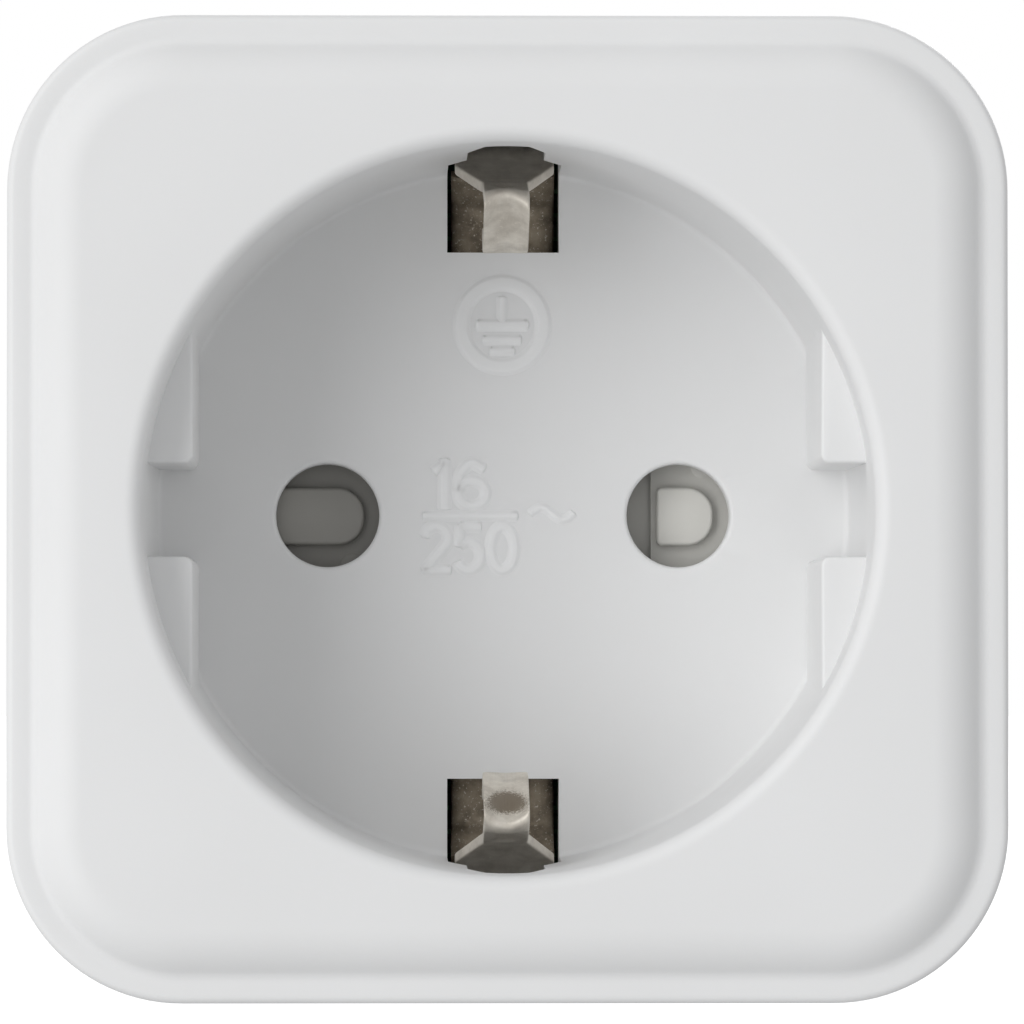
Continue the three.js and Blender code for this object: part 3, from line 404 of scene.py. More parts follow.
def stroke(path, width, closed=False):
    """A soft-edged ribbon on the floor along a line: across it the height is a flat top that
    falls off as half a cosine wave at each side, and open ends narrow and sink by a sine."""
    path = np.asarray(path, float)
    ahead = (np.roll(path, -1, 0) - np.roll(path, 1, 0)) if closed else np.gradient(path, axis=0)
    ahead /= np.linalg.norm(ahead, axis=1)[:, None]
    normal = np.stack([-ahead[:, 1], ahead[:, 0]], 1)
    turn = np.linspace(0, 1, 7)
    slope, foot, sunk = 0.27 * MM, width / 2 + 0.08 * MM, 0.1 * MM
    out = np.concatenate([[foot], foot - slope * turn])
    up = np.concatenate([[-sunk], MARK_HIGH * (1 - np.cos(np.pi * turn)) / 2])
    across = np.concatenate([-out, out[::-1]])
    height = np.concatenate([up, up[::-1]])
    spread = np.ones(len(path))
    if not closed:
        rise = np.radians(np.linspace(20, 90, 5))
        grow = np.sin(rise)
        lead = np.cos(rise)[:, None] * width * 0.25
        start = path[0] - ahead[0] * lead
        finish = path[-1] + ahead[-1] * lead[::-1]
        path = np.concatenate([start, path, finish])
        normal = np.concatenate([np.tile(normal[0], (5, 1)), normal, np.tile(normal[-1], (5, 1))])
        spread = np.concatenate([grow, spread, grow[::-1]])
    flat = path[:, None, :] + normal[:, None, :] * (across[None, :, None] * spread[:, None, None])
    depth = FLOOR_Y - height[None, :] * np.where(height > 0, spread[:, None], 1)
    rings = np.stack([flat[..., 0], np.broadcast_to(depth, flat.shape[:2]), flat[..., 1]], -1)
    if not closed:
        return lofted("stroke", rings, 60)
    rows, count, _ = rings.shape
    quads = ring_faces(rows, count, closed_path=True)
    piece = mesh_piece("stroke", rings.reshape(-1, 3), quads.ravel(), np.full(len(quads), 4), 60)
    face_out(piece, 60)
    return piece


def curve_points(points, steps=8):
    """A smooth line through points, each stretch a Catmull-Rom cubic."""
    points = np.asarray(points, float)
    ends = np.concatenate([[2 * points[0] - points[1]], points, [2 * points[-1] - points[-2]]])
    share = np.linspace(0, 1, steps, endpoint=False)[:, None]
    spans = []
    for a, b, c, d in zip(ends, ends[1:], ends[2:], ends[3:]):
        spans.append(0.5 * (2 * b + (c - a) * share + (2 * a - 5 * b + 4 * c - d) * share**2
                            + (3 * b - a - 3 * c + d) * share**3))
    return np.concatenate([*spans, points[-1:]])


def line_points(start, end, steps=6):
    """Points at even distances on a straight line."""
    return np.linspace(start, end, steps)


def oval(x, z, wide, high, start, end, steps=28):
    """Points on an ellipse: its middle plus (wide cos, high sin) of angles in degrees."""
    turn = np.radians(np.linspace(start, end, steps))
    return np.stack([x + wide * np.cos(turn), z + high * np.sin(turn)], 1)


MARK = 0.56 * MM
figures = []


def draw(path, left, low, size, closed=False, width=MARK):
    """A stroke whose points are in shares of a figure's height, placed at its lower left."""
    figures.append(stroke(np.asarray(path) * size + (left, low), width, closed))


def draw_one(left, low, size):
    """A stem, and a short flag down to its left."""
    draw(line_points((0.3, 0.0), (0.3, 0.98)), left, low, size, width=1.15 * MARK)
    draw(line_points((0.3, 0.92), (0.1, 0.76)), left, low, size)


def draw_two(left, low, size):
    """An arc over the top, a slope down to the left, and a level foot."""
    top = oval(0.31, 0.72, 0.24, 0.24, 170, -35, 16)
    draw(np.concatenate([top, line_points((0.38, 0.42), (0.08, 0.05), 5)]), left, low, size)
    draw(line_points((0.06, 0.05), (0.58, 0.05)), left, low, size)


def draw_five(left, low, size):
    """A level top, a short stem down from its left end, and an open bowl."""
    draw(line_points((0.54, 0.95), (0.15, 0.95)), left, low, size)
    draw(line_points((0.15, 0.95), (0.12, 0.57)), left, low, size)
    draw(oval(0.31, 0.34, 0.25, 0.29, 127, -150, 22), left, low, size)


def draw_six(left, low, size, broad):
    """The wide six: its loop and tail are stretched sideways by a factor."""
    draw(oval(0.32 * broad, 0.3, 0.24 * broad, 0.27, 0, 360, 33)[:-1], left, low, size, closed=True)
    tail = [(0.09, 0.36), (0.12, 0.68), (0.3, 0.92), (0.52, 0.82)]
    draw(curve_points([(x * broad, z) for x, z in tail], 6), left, low, size)


def draw_nought(left, low, size):
    """A closed oval."""
    draw(oval(0.31, 0.5, 0.25, 0.45, 0, 360, 41)[:-1], left, low, size, closed=True)


figure_high = 2.6 * MM
draw_one(-3.95 * MM, 0.42 * MM, figure_high)
draw_six(-2.72 * MM, 0.42 * MM, figure_high, 1.22)
draw(line_points((-4.28, 0), (0.72, 0), 12), 0, -0.02 * MM, MM, width=0.48 * MM)
draw_two(-4.42 * MM, -3.08 * MM, figure_high)
draw_five(-2.68 * MM, -3.08 * MM, figure_high)
draw_nought(-0.84 * MM, -3.08 * MM, figure_high)
wave = np.linspace(0, 1, 22)
tilde = np.stack([1.5 + 2.3 * wave, 0.1 + 0.33 * np.sin(2 * np.pi * wave)], 1)
draw(tilde, 0, 0, MM, width=0.42 * MM)

# the earth symbol: a ring around a stem and three bars that shorten downwards
EARTH_MARK = (-0.05 * MM, 10.33 * MM)
draw(oval(0, 0, 2.22, 2.28, 0, 360, 73)[:-1], *EARTH_MARK, MM, closed=True, width=0.82 * MM)
draw(line_points((0, 1.45), (0, 0.2)), *EARTH_MARK, MM, width=0.5 * MM)
for half, height, broad in ((1.32, 0.0, 0.6), (0.96, -0.8, 0.5), (0.6, -1.4, 0.46)):
    draw(line_points((-half, height), (half, height), 9), *EARTH_MARK, MM, width=broad * MM)

markings = merged("raised_markings", figures)
shade(markings, 60)
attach(markings, "housing")

# The housing's finish: white polycarbonate from a finely spark-eroded mould. It has a soft gloss,
# a little light inside it, and slow, faint changes of tone.


def workings(material):
    """A material's node tree, its Principled shader and its reader of Object coordinates."""
    nodes = material.node_tree.nodes
    place = next(node for node in nodes if node.type == "TEX_COORD")
    return material.node_tree, nodes["Principled BSDF"], place.outputs["Object"]


def shader(name):
    """A new material and its workings."""
    material = bpy.data.materials.new(name)
    material.use_nodes = True
    material.node_tree.nodes.new("ShaderNodeTexCoord")
    return material, *workings(material)


def noise(tree, where, scale, detail=3.0, rough=0.5):
    """Cloudy noise from 0 to 1, with as many blotches to the metre as its scale."""
    texture = tree.nodes.new("ShaderNodeTexNoise")
    texture.inputs["Scale"].default_value = scale
    texture.inputs["Detail"].default_value = detail
    texture.inputs["Roughness"].default_value = rough
    tree.links.new(where, texture.inputs["Vector"])
    return texture.outputs["Fac"]


def between(tree, factor, low, high, start=0.3, end=0.7):
    """A colour or a number that runs between two values as a factor goes from start to end."""
    if isinstance(low, float):
        reach = tree.nodes.new("ShaderNodeMapRange")
        limits = {"From Min": start, "From Max": end, "To Min": low, "To Max": high}
        for socket, limit in limits.items():
            reach.inputs[socket].default_value = limit
        tree.links.new(factor, reach.inputs["Value"])
        return reach.outputs["Result"]
    ramp = tree.nodes.new("ShaderNodeValToRGB")
    for stop, place, colour in zip(ramp.color_ramp.elements, (start, end), (low, high)):
        stop.position = place
        stop.color = (*colour, 1)
    tree.links.new(factor, ramp.inputs["Fac"])
    return ramp.outputs["Color"]


def towards(tree, share, base, colour):
    """A base colour that gives way to one fixed colour by a share from 0 to 1."""
    mix = tree.nodes.new("ShaderNodeMix")
    mix.data_type = "RGBA"
    factor, first, second = mix.inputs[0], mix.inputs[6], mix.inputs[7]
    second.default_value = (*colour, 1)
    tree.links.new(share, factor)
    tree.links.new(base, first)
    return mix.outputs[2]


def relief(tree, surface, height, distance, strength=1.0, under=None):
    """Bump: a height from 0 to 1 times a distance, over another relief if one is given."""
    bump = tree.nodes.new("ShaderNodeBump")
    bump.inputs["Distance"].default_value = distance
    bump.inputs["Strength"].default_value = strength
    tree.links.new(height, bump.inputs["Height"])
    if under is not None:
        tree.links.new(under, bump.inputs["Normal"])
    tree.links.new(bump.outputs["Normal"], surface.inputs["Normal"])
    return bump.outputs["Normal"]


def moulded_plastic(name, dark, light, rough, grain=1.2, depth=0.004, glow=0.0):
    """Moulded plastic: tone and gloss drift slowly over the piece, and a fine erosion grain from
    the mould breaks up its reflections. Grain is the grain's size in tenths of a millimetre."""
    material, tree, surface, where = shader(name)
    drift = noise(tree, where, 55, 2)
    tree.links.new(between(tree, drift, dark, light), surface.inputs["Base Color"])
    sheen = noise(tree, where, 420, 3)
    tree.links.new(between(tree, sheen, rough - 0.035, rough + 0.045), surface.inputs["Roughness"])
    erosion = noise(tree, where, 10000 / grain, 2, 0.6)
    relief(tree, surface, erosion, depth * MM, 0.5)
    surface.inputs["IOR"].default_value = 1.5
    surface.inputs["Specular IOR Level"].default_value = 0.35
    if glow:
        surface.inputs["Subsurface Weight"].default_value = glow
        surface.inputs["Subsurface Radius"].default_value = (1.0, 0.95, 0.9)
        surface.inputs["Subsurface Scale"].default_value = 0.8 * MM
    return material


white_plastic = moulded_plastic("white_plastic", (0.786, 0.788, 0.788), (0.811, 0.813, 0.814), 0.5,
                                glow=0.12)
front.data.materials.clear()
front.data.materials.append(white_plastic)

# the raised figures are a little smoother than the floor, and painted lighter than it: painted light where
# their raised tops catch more light
smooth_white_painted_light = moulded_plastic("smooth_white_painted_light", (0.85, 0.852, 0.852), (0.875, 0.877, 0.877), 0.45,
                                 glow=0.12)
markings.data.materials.append(smooth_white_painted_light)


def fitted(piece, material, node, body):
    """Gives a piece its one material, puts it in place of a node and lets it ride on a body."""
    piece.data.materials.clear()
    piece.data.materials.append(material)
    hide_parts(node)
    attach(piece, body)


# ---------------------------------------------------------------------------------------------
# Rear housing. The same white polycarbonate: the case's back with a lip that enters the front
# housing, and the round boss that fills a wall socket's well, with guide flats and keys at its
# sides, recesses for the earth strips and a hole for a wall socket's earth pin.
# ---------------------------------------------------------------------------------------------

earth_low, earth_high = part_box("earth_pin_socket")
screw_low, screw_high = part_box("housing_screw_2")
BOSS = 18.25 * MM
REAR_Y = -17 * MM
REAR_WALL = REAR_Y - WALL
LIP_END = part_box("rear_housing")[0].y
REAR_SEAM = SEAM_Y + 0.3 * MM
SCREW_X = (screw_low.x + screw_high.x) / 2
SCREW_Z = (screw_low.z + screw_high.z) / 2


def rear_profile():
    """Rows from the middle of the rear wall's inside, out over the lip and the side, across the
    shoulder and up the boss to the middle of its end face."""
    lip_inner, lip_outer = WALL + 1.2 * MM, WALL + 0.3 * MM
    step = REAR_SEAM + 0.5 * MM
    seam_round, edge_round, root_round, end_round = 0.2 * MM, 1.5 * MM, 0.4 * MM, 0.8 * MM
    rows = [("round", 0.5 * MM, REAR_WALL), ("round", 14 * MM, REAR_WALL), ("case", WALL, REAR_WALL)]
    rows += [("case", WALL, step), ("case", lip_inner, step), ("case", lip_inner, LIP_END)]
    rows += [("case", lip_outer + 0.15 * MM, LIP_END), ("case", lip_outer, LIP_END + 0.3 * MM)]
    rows += [("case", lip_outer, REAR_SEAM)]
    seam = arc((0, REAR_SEAM + seam_round), seam_round, -90, 0, 4)
    rows += [("case", seam_round - out, y) for out, y in seam]
    rows += [("case", 0, y) for y in np.linspace(REAR_SEAM + MM, REAR_Y - edge_round - 0.3 * MM, 4)]
    edge = arc((0, REAR_Y - edge_round), edge_round, 0, 90, 12)
    rows += [("case", edge_round - out, y) for out, y in edge]
    root = arc((BOSS + root_round, REAR_Y + root_round), root_round, 270, 180, 6)
    rows += [("round", size, y) for size, y in root]
    rows += [("round", BOSS, y) for y in np.linspace(REAR_Y + MM, -end_round - 0.6 * MM, 5)]
    end = arc((BOSS - end_round, -end_round), end_round, 0, 90, 8)
    rows += [("round", size, y) for size, y in end]
    rows += [("round", size, 0) for size in np.array([12, 6, 0.5]) * MM]
    return rows


rear = lofted("rear_moulding", case_rings(rear_profile()))


def block_outline(x0, x1, z0, z1, radius=0.0):
    """A rectangle's outline, counter-clockwise, with its corners rounded if a radius is given."""
    corners = [(min(x0, x1), min(z0, z1)), (max(x0, x1), min(z0, z1)),
               (max(x0, x1), max(z0, z1)), (min(x0, x1), max(z0, z1))]
    return rounded_corners(corners, [radius] * 4) if radius else np.array(corners, float)


# Screw posts inside the case.
post = [(3.6 * MM, REAR_SEAM), (3.6 * MM, REAR_WALL + 0.5 * MM)]
posts = [turned("post", post, side * SCREW_X, end * SCREW_Z, 48) for side, end in QUARTERS]
carved(rear, merged("posts", posts), "UNION")

# Guide flats beside the boss's keys, and the recesses that the screws' heads sit in.
BOSS_FLAT, BOSS_KEY, FLAT_END, PAST_BOSS = 16.15 * MM, 2.2 * MM, 10.2 * MM, 20 * MM
HEAD_HOLE, HEAD_DEEP = 2.8 * MM, 2.2 * MM
head = [(HEAD_HOLE, REAR_Y - HEAD_DEEP), (HEAD_HOLE, REAR_Y - 0.2 * MM),
        (HEAD_HOLE + 0.2 * MM, REAR_Y + HAIR), (HEAD_HOLE + 0.2 * MM, REAR_Y + MM)]
cutters = []
for side, end in QUARTERS:
    flat = block_outline(side * BOSS_FLAT, side * PAST_BOSS, end * BOSS_KEY, end * FLAT_END)
    cutters.append(prism("cut", flat, REAR_Y, 2 * MM))
    cutters.append(turned("cut", head, side * SCREW_X, end * SCREW_Z, 64))
carved(rear, merged("cuts", cutters), "DIFFERENCE")

# The hollow inside the boss, then the openings in its end face: recesses for the earth strips and
# chamfered holes for the pins and for a wall socket's earth pin.
BOSS_WALL, RECESS_DEEP, RECESS_INNER = 2 * MM, 15.5 * MM, 14.1 * MM
cavity = block_outline(-14.5 * MM, 14.5 * MM, -12.7 * MM, 12.7 * MM, 6 * MM)
carved(rear, prism("cut", cavity, REAR_WALL - 4 * MM, -BOSS_WALL), "DIFFERENCE")
cutters = []
for end in (-1, 1):
    recess = block_outline(-3.3 * MM, 3.3 * MM, end * RECESS_INNER, end * PAST_BOSS)
    cutters.append(prism("cut", recess, -RECESS_DEEP, 2 * MM))
hole = [(2.43 * MM, -3 * MM), (2.43 * MM, -0.15 * MM), (2.6 * MM, 2 * HAIR), (2.7 * MM, MM)]
for side in (-1, 1):
    cutters.append(turned("cut", hole, x=side * PIN_X, count=64))
earth_middle = (earth_low.z + earth_high.z) / 2
hole = [(3.0 * MM, -15 * MM), (3.0 * MM, -0.3 * MM), (3.3 * MM, 2 * HAIR), (3.4 * MM, MM)]
cutters.append(turned("cut", hole, z=earth_middle, count=64))
carved(rear, merged("cuts", cutters), "DIFFERENCE")

# The slots that the earth strips pass through into the boss, and the screws' shank holes.
shank_hole = [(1.7 * MM, REAR_SEAM - 3 * MM), (1.7 * MM, REAR_Y - MM)]
cutters = []
for end in (-1, 1):
    passage = block_outline(-3.2 * MM, 3.2 * MM, end * 12 * MM, end * 14.5 * MM)
    cutters.append(prism("cut", passage, -RECESS_DEEP, -RECESS_DEEP + 1.5 * MM))
cutters += [turned("cut", shank_hole, side * SCREW_X, end * SCREW_Z, 32) for side, end in QUARTERS]
carved(rear, merged("cuts", cutters), "DIFFERENCE")
fitted(rear, white_plastic, "rear_housing", "housing")

# ---------------------------------------------------------------------------------------------
# Earth clips and bracket. Nickel-plated rolled brass 0.6 mm thick. The bracket is a strap behind
# the well's floor; each clip is a sprung finger whose root lies outside the well's wall and whose
# tip bulges into the slot.
# ---------------------------------------------------------------------------------------------


def worn_metal(name, dark, light, rough, grain=(30, 400, 400), scratch=0.5, metal=1.0, sparkle=0.0):
    """Plated sheet: rolling marks run along one direction, with brighter rubbed patches and a
    relief of fine scratches. Sparkle adds bright specks where the plating is scraped."""
    material, tree, surface, where = shader(name)
    surface.inputs["Metallic"].default_value = metal
    patches = noise(tree, where, 900, 4, 0.6)
    tone = between(tree, patches, dark, light, 0.32, 0.68)
    if sparkle:
        scrapes = between(tree, noise(tree, where, 7000, 3, 0.7), 0.0, sparkle, 0.6, 0.7)
        tone = towards(tree, scrapes, tone, (0.85, 0.8, 0.7))
    tree.links.new(tone, surface.inputs["Base Color"])
    stretch = tree.nodes.new("ShaderNodeMapping")
    stretch.inputs["Scale"].default_value = grain
    tree.links.new(where, stretch.inputs["Vector"])
    rolling = noise(tree, stretch.outputs["Vector"], 22, 6, 0.65)
    tree.links.new(between(tree, rolling, rough - 0.1, rough + 0.16), surface.inputs["Roughness"])
    first = relief(tree, surface, rolling, 0.004 * MM, scratch)
    specks = noise(tree, where, 5200, 2, 0.7)
    relief(tree, surface, specks, 0.003 * MM, 0.5, first)
    return material


def rounded_line(points, radius, steps=7):
    """An open line whose corners are rounded: each by a parabola that touches both its sides at
    a radius from the corner, or nearer where a side is short."""
    points = np.asarray(points, float)
    made = [points[:1]]
    for before, corner, after in zip(points, points[1:], points[2:]):
        to_last, to_next = before - corner, after - corner
        lengths = np.linalg.norm(to_last), np.linalg.norm(to_next)
        to_last, to_next = to_last / lengths[0], to_next / lengths[1]
        reach = min(radius, 0.45 * lengths[0], 0.45 * lengths[1])
        share = np.linspace(0, 1, steps)[:, None]
        start, finish = corner + to_last * reach, corner + to_next * reach
        made.append(start * (1 - share) ** 2 + 2 * corner * share * (1 - share) + finish * share**2)
    made.append(points[-1:])
    return np.concatenate(made)


def evenly(line, step):
    """The same line with corners no further apart than a step."""
    spans = np.linalg.norm(np.diff(line, axis=0), axis=1)
    along = np.concatenate([[0], np.cumsum(spans)])
    marks = np.unique(np.concatenate([along, np.arange(0, along[-1], step)]))
    return np.stack([np.interp(marks, along, line[:, column]) for column in range(2)], 1)


def strip(name, line, width, thickness, edge=0.1 * MM, crown=None, step=0.35 * MM):
    """Bent sheet: a rounded-edge section carried along a line in Y and Z. Width may be a number
    or a function of (y, z). Crown is a function of (y, z, offsets across the sheet) that lifts
    the section's points along its normal, to press a form into the sheet."""
    path = evenly(np.asarray(line, float), step)
    ahead = np.gradient(path, axis=0)
    ahead /= np.linalg.norm(ahead, axis=1)[:, None]
    y, z = path.T[:, :, None]
    normal_y, normal_z = -ahead[:, 1:], ahead[:, :1]
    reach = (width(y, z) if callable(width) else np.full_like(y, width)) / 2
    half = thickness / 2
    soft = np.minimum(np.minimum(edge, reach * 0.4), half * 0.95)
    # the section's right edge, its top, and its left edge; turned half round, the same again
    turn = np.radians(np.linspace(0, 90, 4))
    side = np.linspace(-1, 1, 17)[1:-1]
    round_x, round_up = reach - soft + soft * np.cos(turn), half - soft + soft * np.sin(turn)
    upper_x = np.hstack([round_x, -side * (reach - soft), -round_x[:, ::-1]])
    upper = np.hstack([round_up, np.full((len(path), len(side)), half), round_up[:, ::-1]])
    across, off = np.hstack([upper_x, -upper_x]), np.hstack([upper, -upper])
    if crown:
        off = off + crown(y, z, across)
    return lofted(name, np.stack([across, y + normal_y * off, z + normal_z * off], -1), 55)


nickel = worn_metal("nickel_strip", (0.54, 0.495, 0.43), (0.76, 0.715, 0.635), 0.42, grain=(400, 30, 30),
                    scratch=0.9, metal=0.3, sparkle=0.5)


def painted_reflection_patch(metal, name, middle, wide, high, colour):
    """A copy of a plated finish with a grainy oval patch of painted dark reflection at a height on the Z
    axis: the share of the patch falls from one to nothing around ((x/wide)^2 + (z/high)^2)^0.5 = 1."""
    made = metal.copy()
    made.name = name
    tree, surface, where = workings(made)
    oval_place = tree.nodes.new("ShaderNodeMapping")
    oval_place.inputs["Scale"].default_value = (1 / wide, 0, 1 / high)
    oval_place.inputs["Location"].default_value = (0, 0, -middle / high)
    tree.links.new(where, oval_place.inputs["Vector"])
    reach = tree.nodes.new("ShaderNodeVectorMath")
    reach.operation = "LENGTH"
    tree.links.new(oval_place.outputs["Vector"], reach.inputs[0])
    grains = between(tree, noise(tree, where, 9000, 3, 0.7), -0.25, 0.25)
    edge = tree.nodes.new("ShaderNodeMath")
    tree.links.new(reach.outputs["Value"], edge.inputs[0])
    tree.links.new(grains, edge.inputs[1])
    share = between(tree, edge.outputs["Value"], 0.9, 0.0, 0.8, 1.15)
    plating = surface.inputs["Base Color"].links[0].from_socket
    tree.links.new(towards(tree, share, plating, colour), surface.inputs["Base Color"])
    return made


# painted reflection: a dark brown grainy oval on the lower clip's inner face stands in for the dark
# reflection that face shows; the upper clip keeps plain nickel
nickel_painted_reflection = painted_reflection_patch(nickel, "nickel_painted_reflection", -15.35 * MM, 1.1 * MM, 0.58 * MM, (0.16, 0.125, 0.085))
ARM = 19.6 * MM
CONTACT = 13.75 * MM
clip_line = np.array([
    (FLOOR_BACK + 0.3 * MM, ARM),
    (FACE_Y + 14.4 * MM, ARM),
    (FACE_Y + 13.0 * MM, 18.5 * MM),
    (FACE_Y + 11.3 * MM, 17.5 * MM),
    (FACE_Y + 5.9 * MM, 16.5 * MM),
    (FACE_Y + 4.8 * MM, 15.95 * MM),
    (FACE_Y + 5.8 * MM, 15.5 * MM),
    (FACE_Y + 8.8 * MM, CONTACT + 0.55 * MM),
    (FACE_Y + 10.0 * MM, CONTACT + 0.3 * MM),
    (FACE_Y + 11.6 * MM, CONTACT + 0.5 * MM),
    (FACE_Y + 13.2 * MM, CONTACT + 1.3 * MM),
])


def finger_width(y, z):
    """Wide at the root, narrowing to the finger between two distances from the axis."""
    share = np.clip((abs(z) - 17.3 * MM) / (1.1 * MM), 0, 1)
    return (2.4 + 2.9 * share) * MM


HALF_FINGER = 1.2 * MM


def finger_form(y, z, across):
    """How far the finger is pressed forward: its ridge is arched across, falling off along the
    sheet as a bell curve, a small round dimple stands near the tip, and a fine crease runs
    along the outer leg. The root stays flat."""
    depth = (y - FACE_Y) / MM
    arch = 0.2 * MM * np.exp(-((depth - 6.2) / 2.6) ** 2) * (1 - (across / HALF_FINGER) ** 2)
    dimple = 0.16 * MM * np.exp(-((across / (0.5 * MM)) ** 2 + ((depth - 9.4) / 0.9) ** 2) ** 2)
    crease = 0.05 * MM * np.exp(-((across - 0.12 * MM) / (0.05 * MM)) ** 2)
    outer_leg = (depth > 6.5) & (abs(z) > 16.4 * MM)
    return np.where(abs(z) > 17.2 * MM, 0.0, arch + dimple - crease * outer_leg)


def arch_the_bend(clip, end):
    """Moves the front bend outwards by a bell curve of its depth times a parabola across the
    finger, so that the ridge follows an arch instead of a straight line."""
    x, y, z = read(clip.data.vertices, "co", 3).T
    middle = np.maximum(1 - (x / HALF_FINGER) ** 2, 0)
    lift = end * 0.6 * MM * middle * np.exp(-(((y - FACE_Y) / MM - 5.0) / 1.5) ** 2)
    raised = np.stack([x, y, z + np.where(np.abs(z) < 17.4 * MM, lift, 0)], 1)
    clip.data.vertices.foreach_set("co", raised.ravel())
    clip.data.update()


for name, end in (("earth_clip_upper", 1), ("earth_clip_lower", -1)):
    line = rounded_line(clip_line * (1, end), 0.9 * MM)
    form = (lambda y, z, across, end=end: end * finger_form(y, z, across))
    clip = strip(f"{name}_sheet", line, finger_width, 0.6 * MM, crown=form, step=0.14 * MM)
    arch_the_bend(clip, end)
    # the lower clip takes the nickel with the painted dark reflection
    fitted(clip, nickel if end > 0 else nickel_painted_reflection, name, name)

strap = FLOOR_BACK + 0.6 * MM
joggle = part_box("earth_bracket")[1].y - 0.3 * MM
upper = [(strap - 1.3 * MM, 18.5 * MM), (strap, 16.7 * MM), (strap, 7.0 * MM), (joggle, 5.6 * MM)]
lower = [(y, -z) for y, z in upper[::-1]]


def strap_form(y, z, across):
    """The strap's long edges turn forwards a little, by the sixth power of the offset."""
    return 0.22 * MM * (across / (2.8 * MM)) ** 6


bracket = strip("earth_bracket_strap", rounded_line(upper + lower, 0.45 * MM), 5.6 * MM, 0.6 * MM,
                crown=strap_form)
strap_metal = worn_metal("nickel_strap", (0.17, 0.14, 0.105), (0.38, 0.325, 0.25), 0.46,
                         grain=(400, 400, 30), scratch=1.0, metal=0.75, sparkle=0.8)
fitted(bracket, strap_metal, "earth_bracket", "housing")

# ---------------------------------------------------------------------------------------------
# Plug pins, earth strips on the boss and the socket for a wall socket's earth pin. Turned and
# rolled brass under nickel; the pins are 4.8 mm thick and 19 mm long.
# ---------------------------------------------------------------------------------------------

pin_low, pin_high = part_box("line_pin")
pin_metal = worn_metal("nickel_pin", (0.6, 0.585, 0.55), (0.72, 0.705, 0.67), 0.2, grain=(400, 40, 400),
                       scratch=0.35)
PIN, TAIL, SHOULDER_Y = 2.4 * MM, 1.44 * MM, -18.3 * MM
tip = [(PIN * math.sin(t) ** 0.8, pin_high.y - 1.6 * MM * (1 - math.cos(t)))
       for t in np.radians(np.linspace(90, 8, 12))]
shank = [(TAIL, pin_low.y), (TAIL, SHOULDER_Y), (PIN - 0.1 * MM, SHOULDER_Y), (PIN, SHOULDER_Y + 0.1 * MM)]
shank += [(PIN, y) for y in np.linspace(-16, 17, 12) * MM]
for name, side in (("line_pin", -1), ("neutral_pin", 1)):
    pin = turned(f"{name}_turned", shank + tip, x=side * PIN_X, count=72, smooth=35)
    fitted(pin, pin_metal, name, "housing")

strip_metal = worn_metal("plug_strip_nickel", (0.56, 0.53, 0.47), (0.7, 0.67, 0.61), 0.28,
                         grain=(400, 30, 400))
for name, end in (("plug_earth_strip_upper", 1), ("plug_earth_strip_lower", -1)):
    low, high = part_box(name)
    leg = low.y + 0.4 * MM
    middle = end * 14.8 * MM
    inner = low.z if end > 0 else high.z
    line = [(leg, inner), (leg, middle), (-1.5 * MM, middle), (-0.7 * MM, middle - end * 0.1 * MM)]
    sheet = strip(f"{name}_sheet", rounded_line(line, 0.9 * MM), 6 * MM, 0.8 * MM, edge=0.18 * MM)
    fitted(sheet, strip_metal, name, "housing")

OUTER, BORE = 2.95 * MM, 2.45 * MM
tube = [(0.3 * MM, earth_low.y), (OUTER, earth_low.y), (OUTER, earth_high.y - 0.15 * MM),
        (OUTER - 0.15 * MM, earth_high.y), (BORE + 0.15 * MM, earth_high.y - 0.02 * MM),
        (BORE, earth_high.y - 0.4 * MM), (BORE, earth_low.y + 1.2 * MM), (0.3 * MM, earth_low.y + 1.0 * MM)]
earth_tube = turned("earth_pin_tube", tube, z=earth_middle, count=64, smooth=35)
fitted(earth_tube, strip_metal, "earth_pin_socket", "housing")

# ---------------------------------------------------------------------------------------------
# Shutter. One grey polyamide moulding that slides sideways behind the well's floor. Two raised
# pads close the pin holes, and openings in its plate line up with the holes once it has moved.
# ---------------------------------------------------------------------------------------------

shutter_low, shutter_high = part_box("shutter")
SHUTTER_FRONT = shutter_low.y
PLATE_FRONT = SHUTTER_FRONT + 0.65 * MM
SHUTTER_BACK = shutter_high.y
plate_outline = block_outline(shutter_low.x, shutter_high.x + 0.35 * MM, shutter_low.z, shutter_high.z,
                              1.0 * MM)
plate = prism("shutter_moulding", plate_outline, PLATE_FRONT, SHUTTER_BACK, edge=0.15 * MM)


def raised_pad(left, right, half, nose):
    """A raised pad with a flat top, nearly square at its left and with a round nose at its right."""
    corners = [(left, -half), (right, -half), (right, half), (left, half)]
    outline = rounded_corners(corners, [0.3 * MM, nose, nose, 0.3 * MM], 9)
    return prism("pad", outline, SHUTTER_FRONT, PLATE_FRONT + 0.3 * MM, edge=0.22 * MM)


left_pad = raised_pad(shutter_low.x + 0.4 * MM, -7.5 * MM, 1.57 * MM, 1.45 * MM)
right_pad = raised_pad(8.4 * MM, 11.5 * MM, 1.6 * MM, 1.45 * MM)
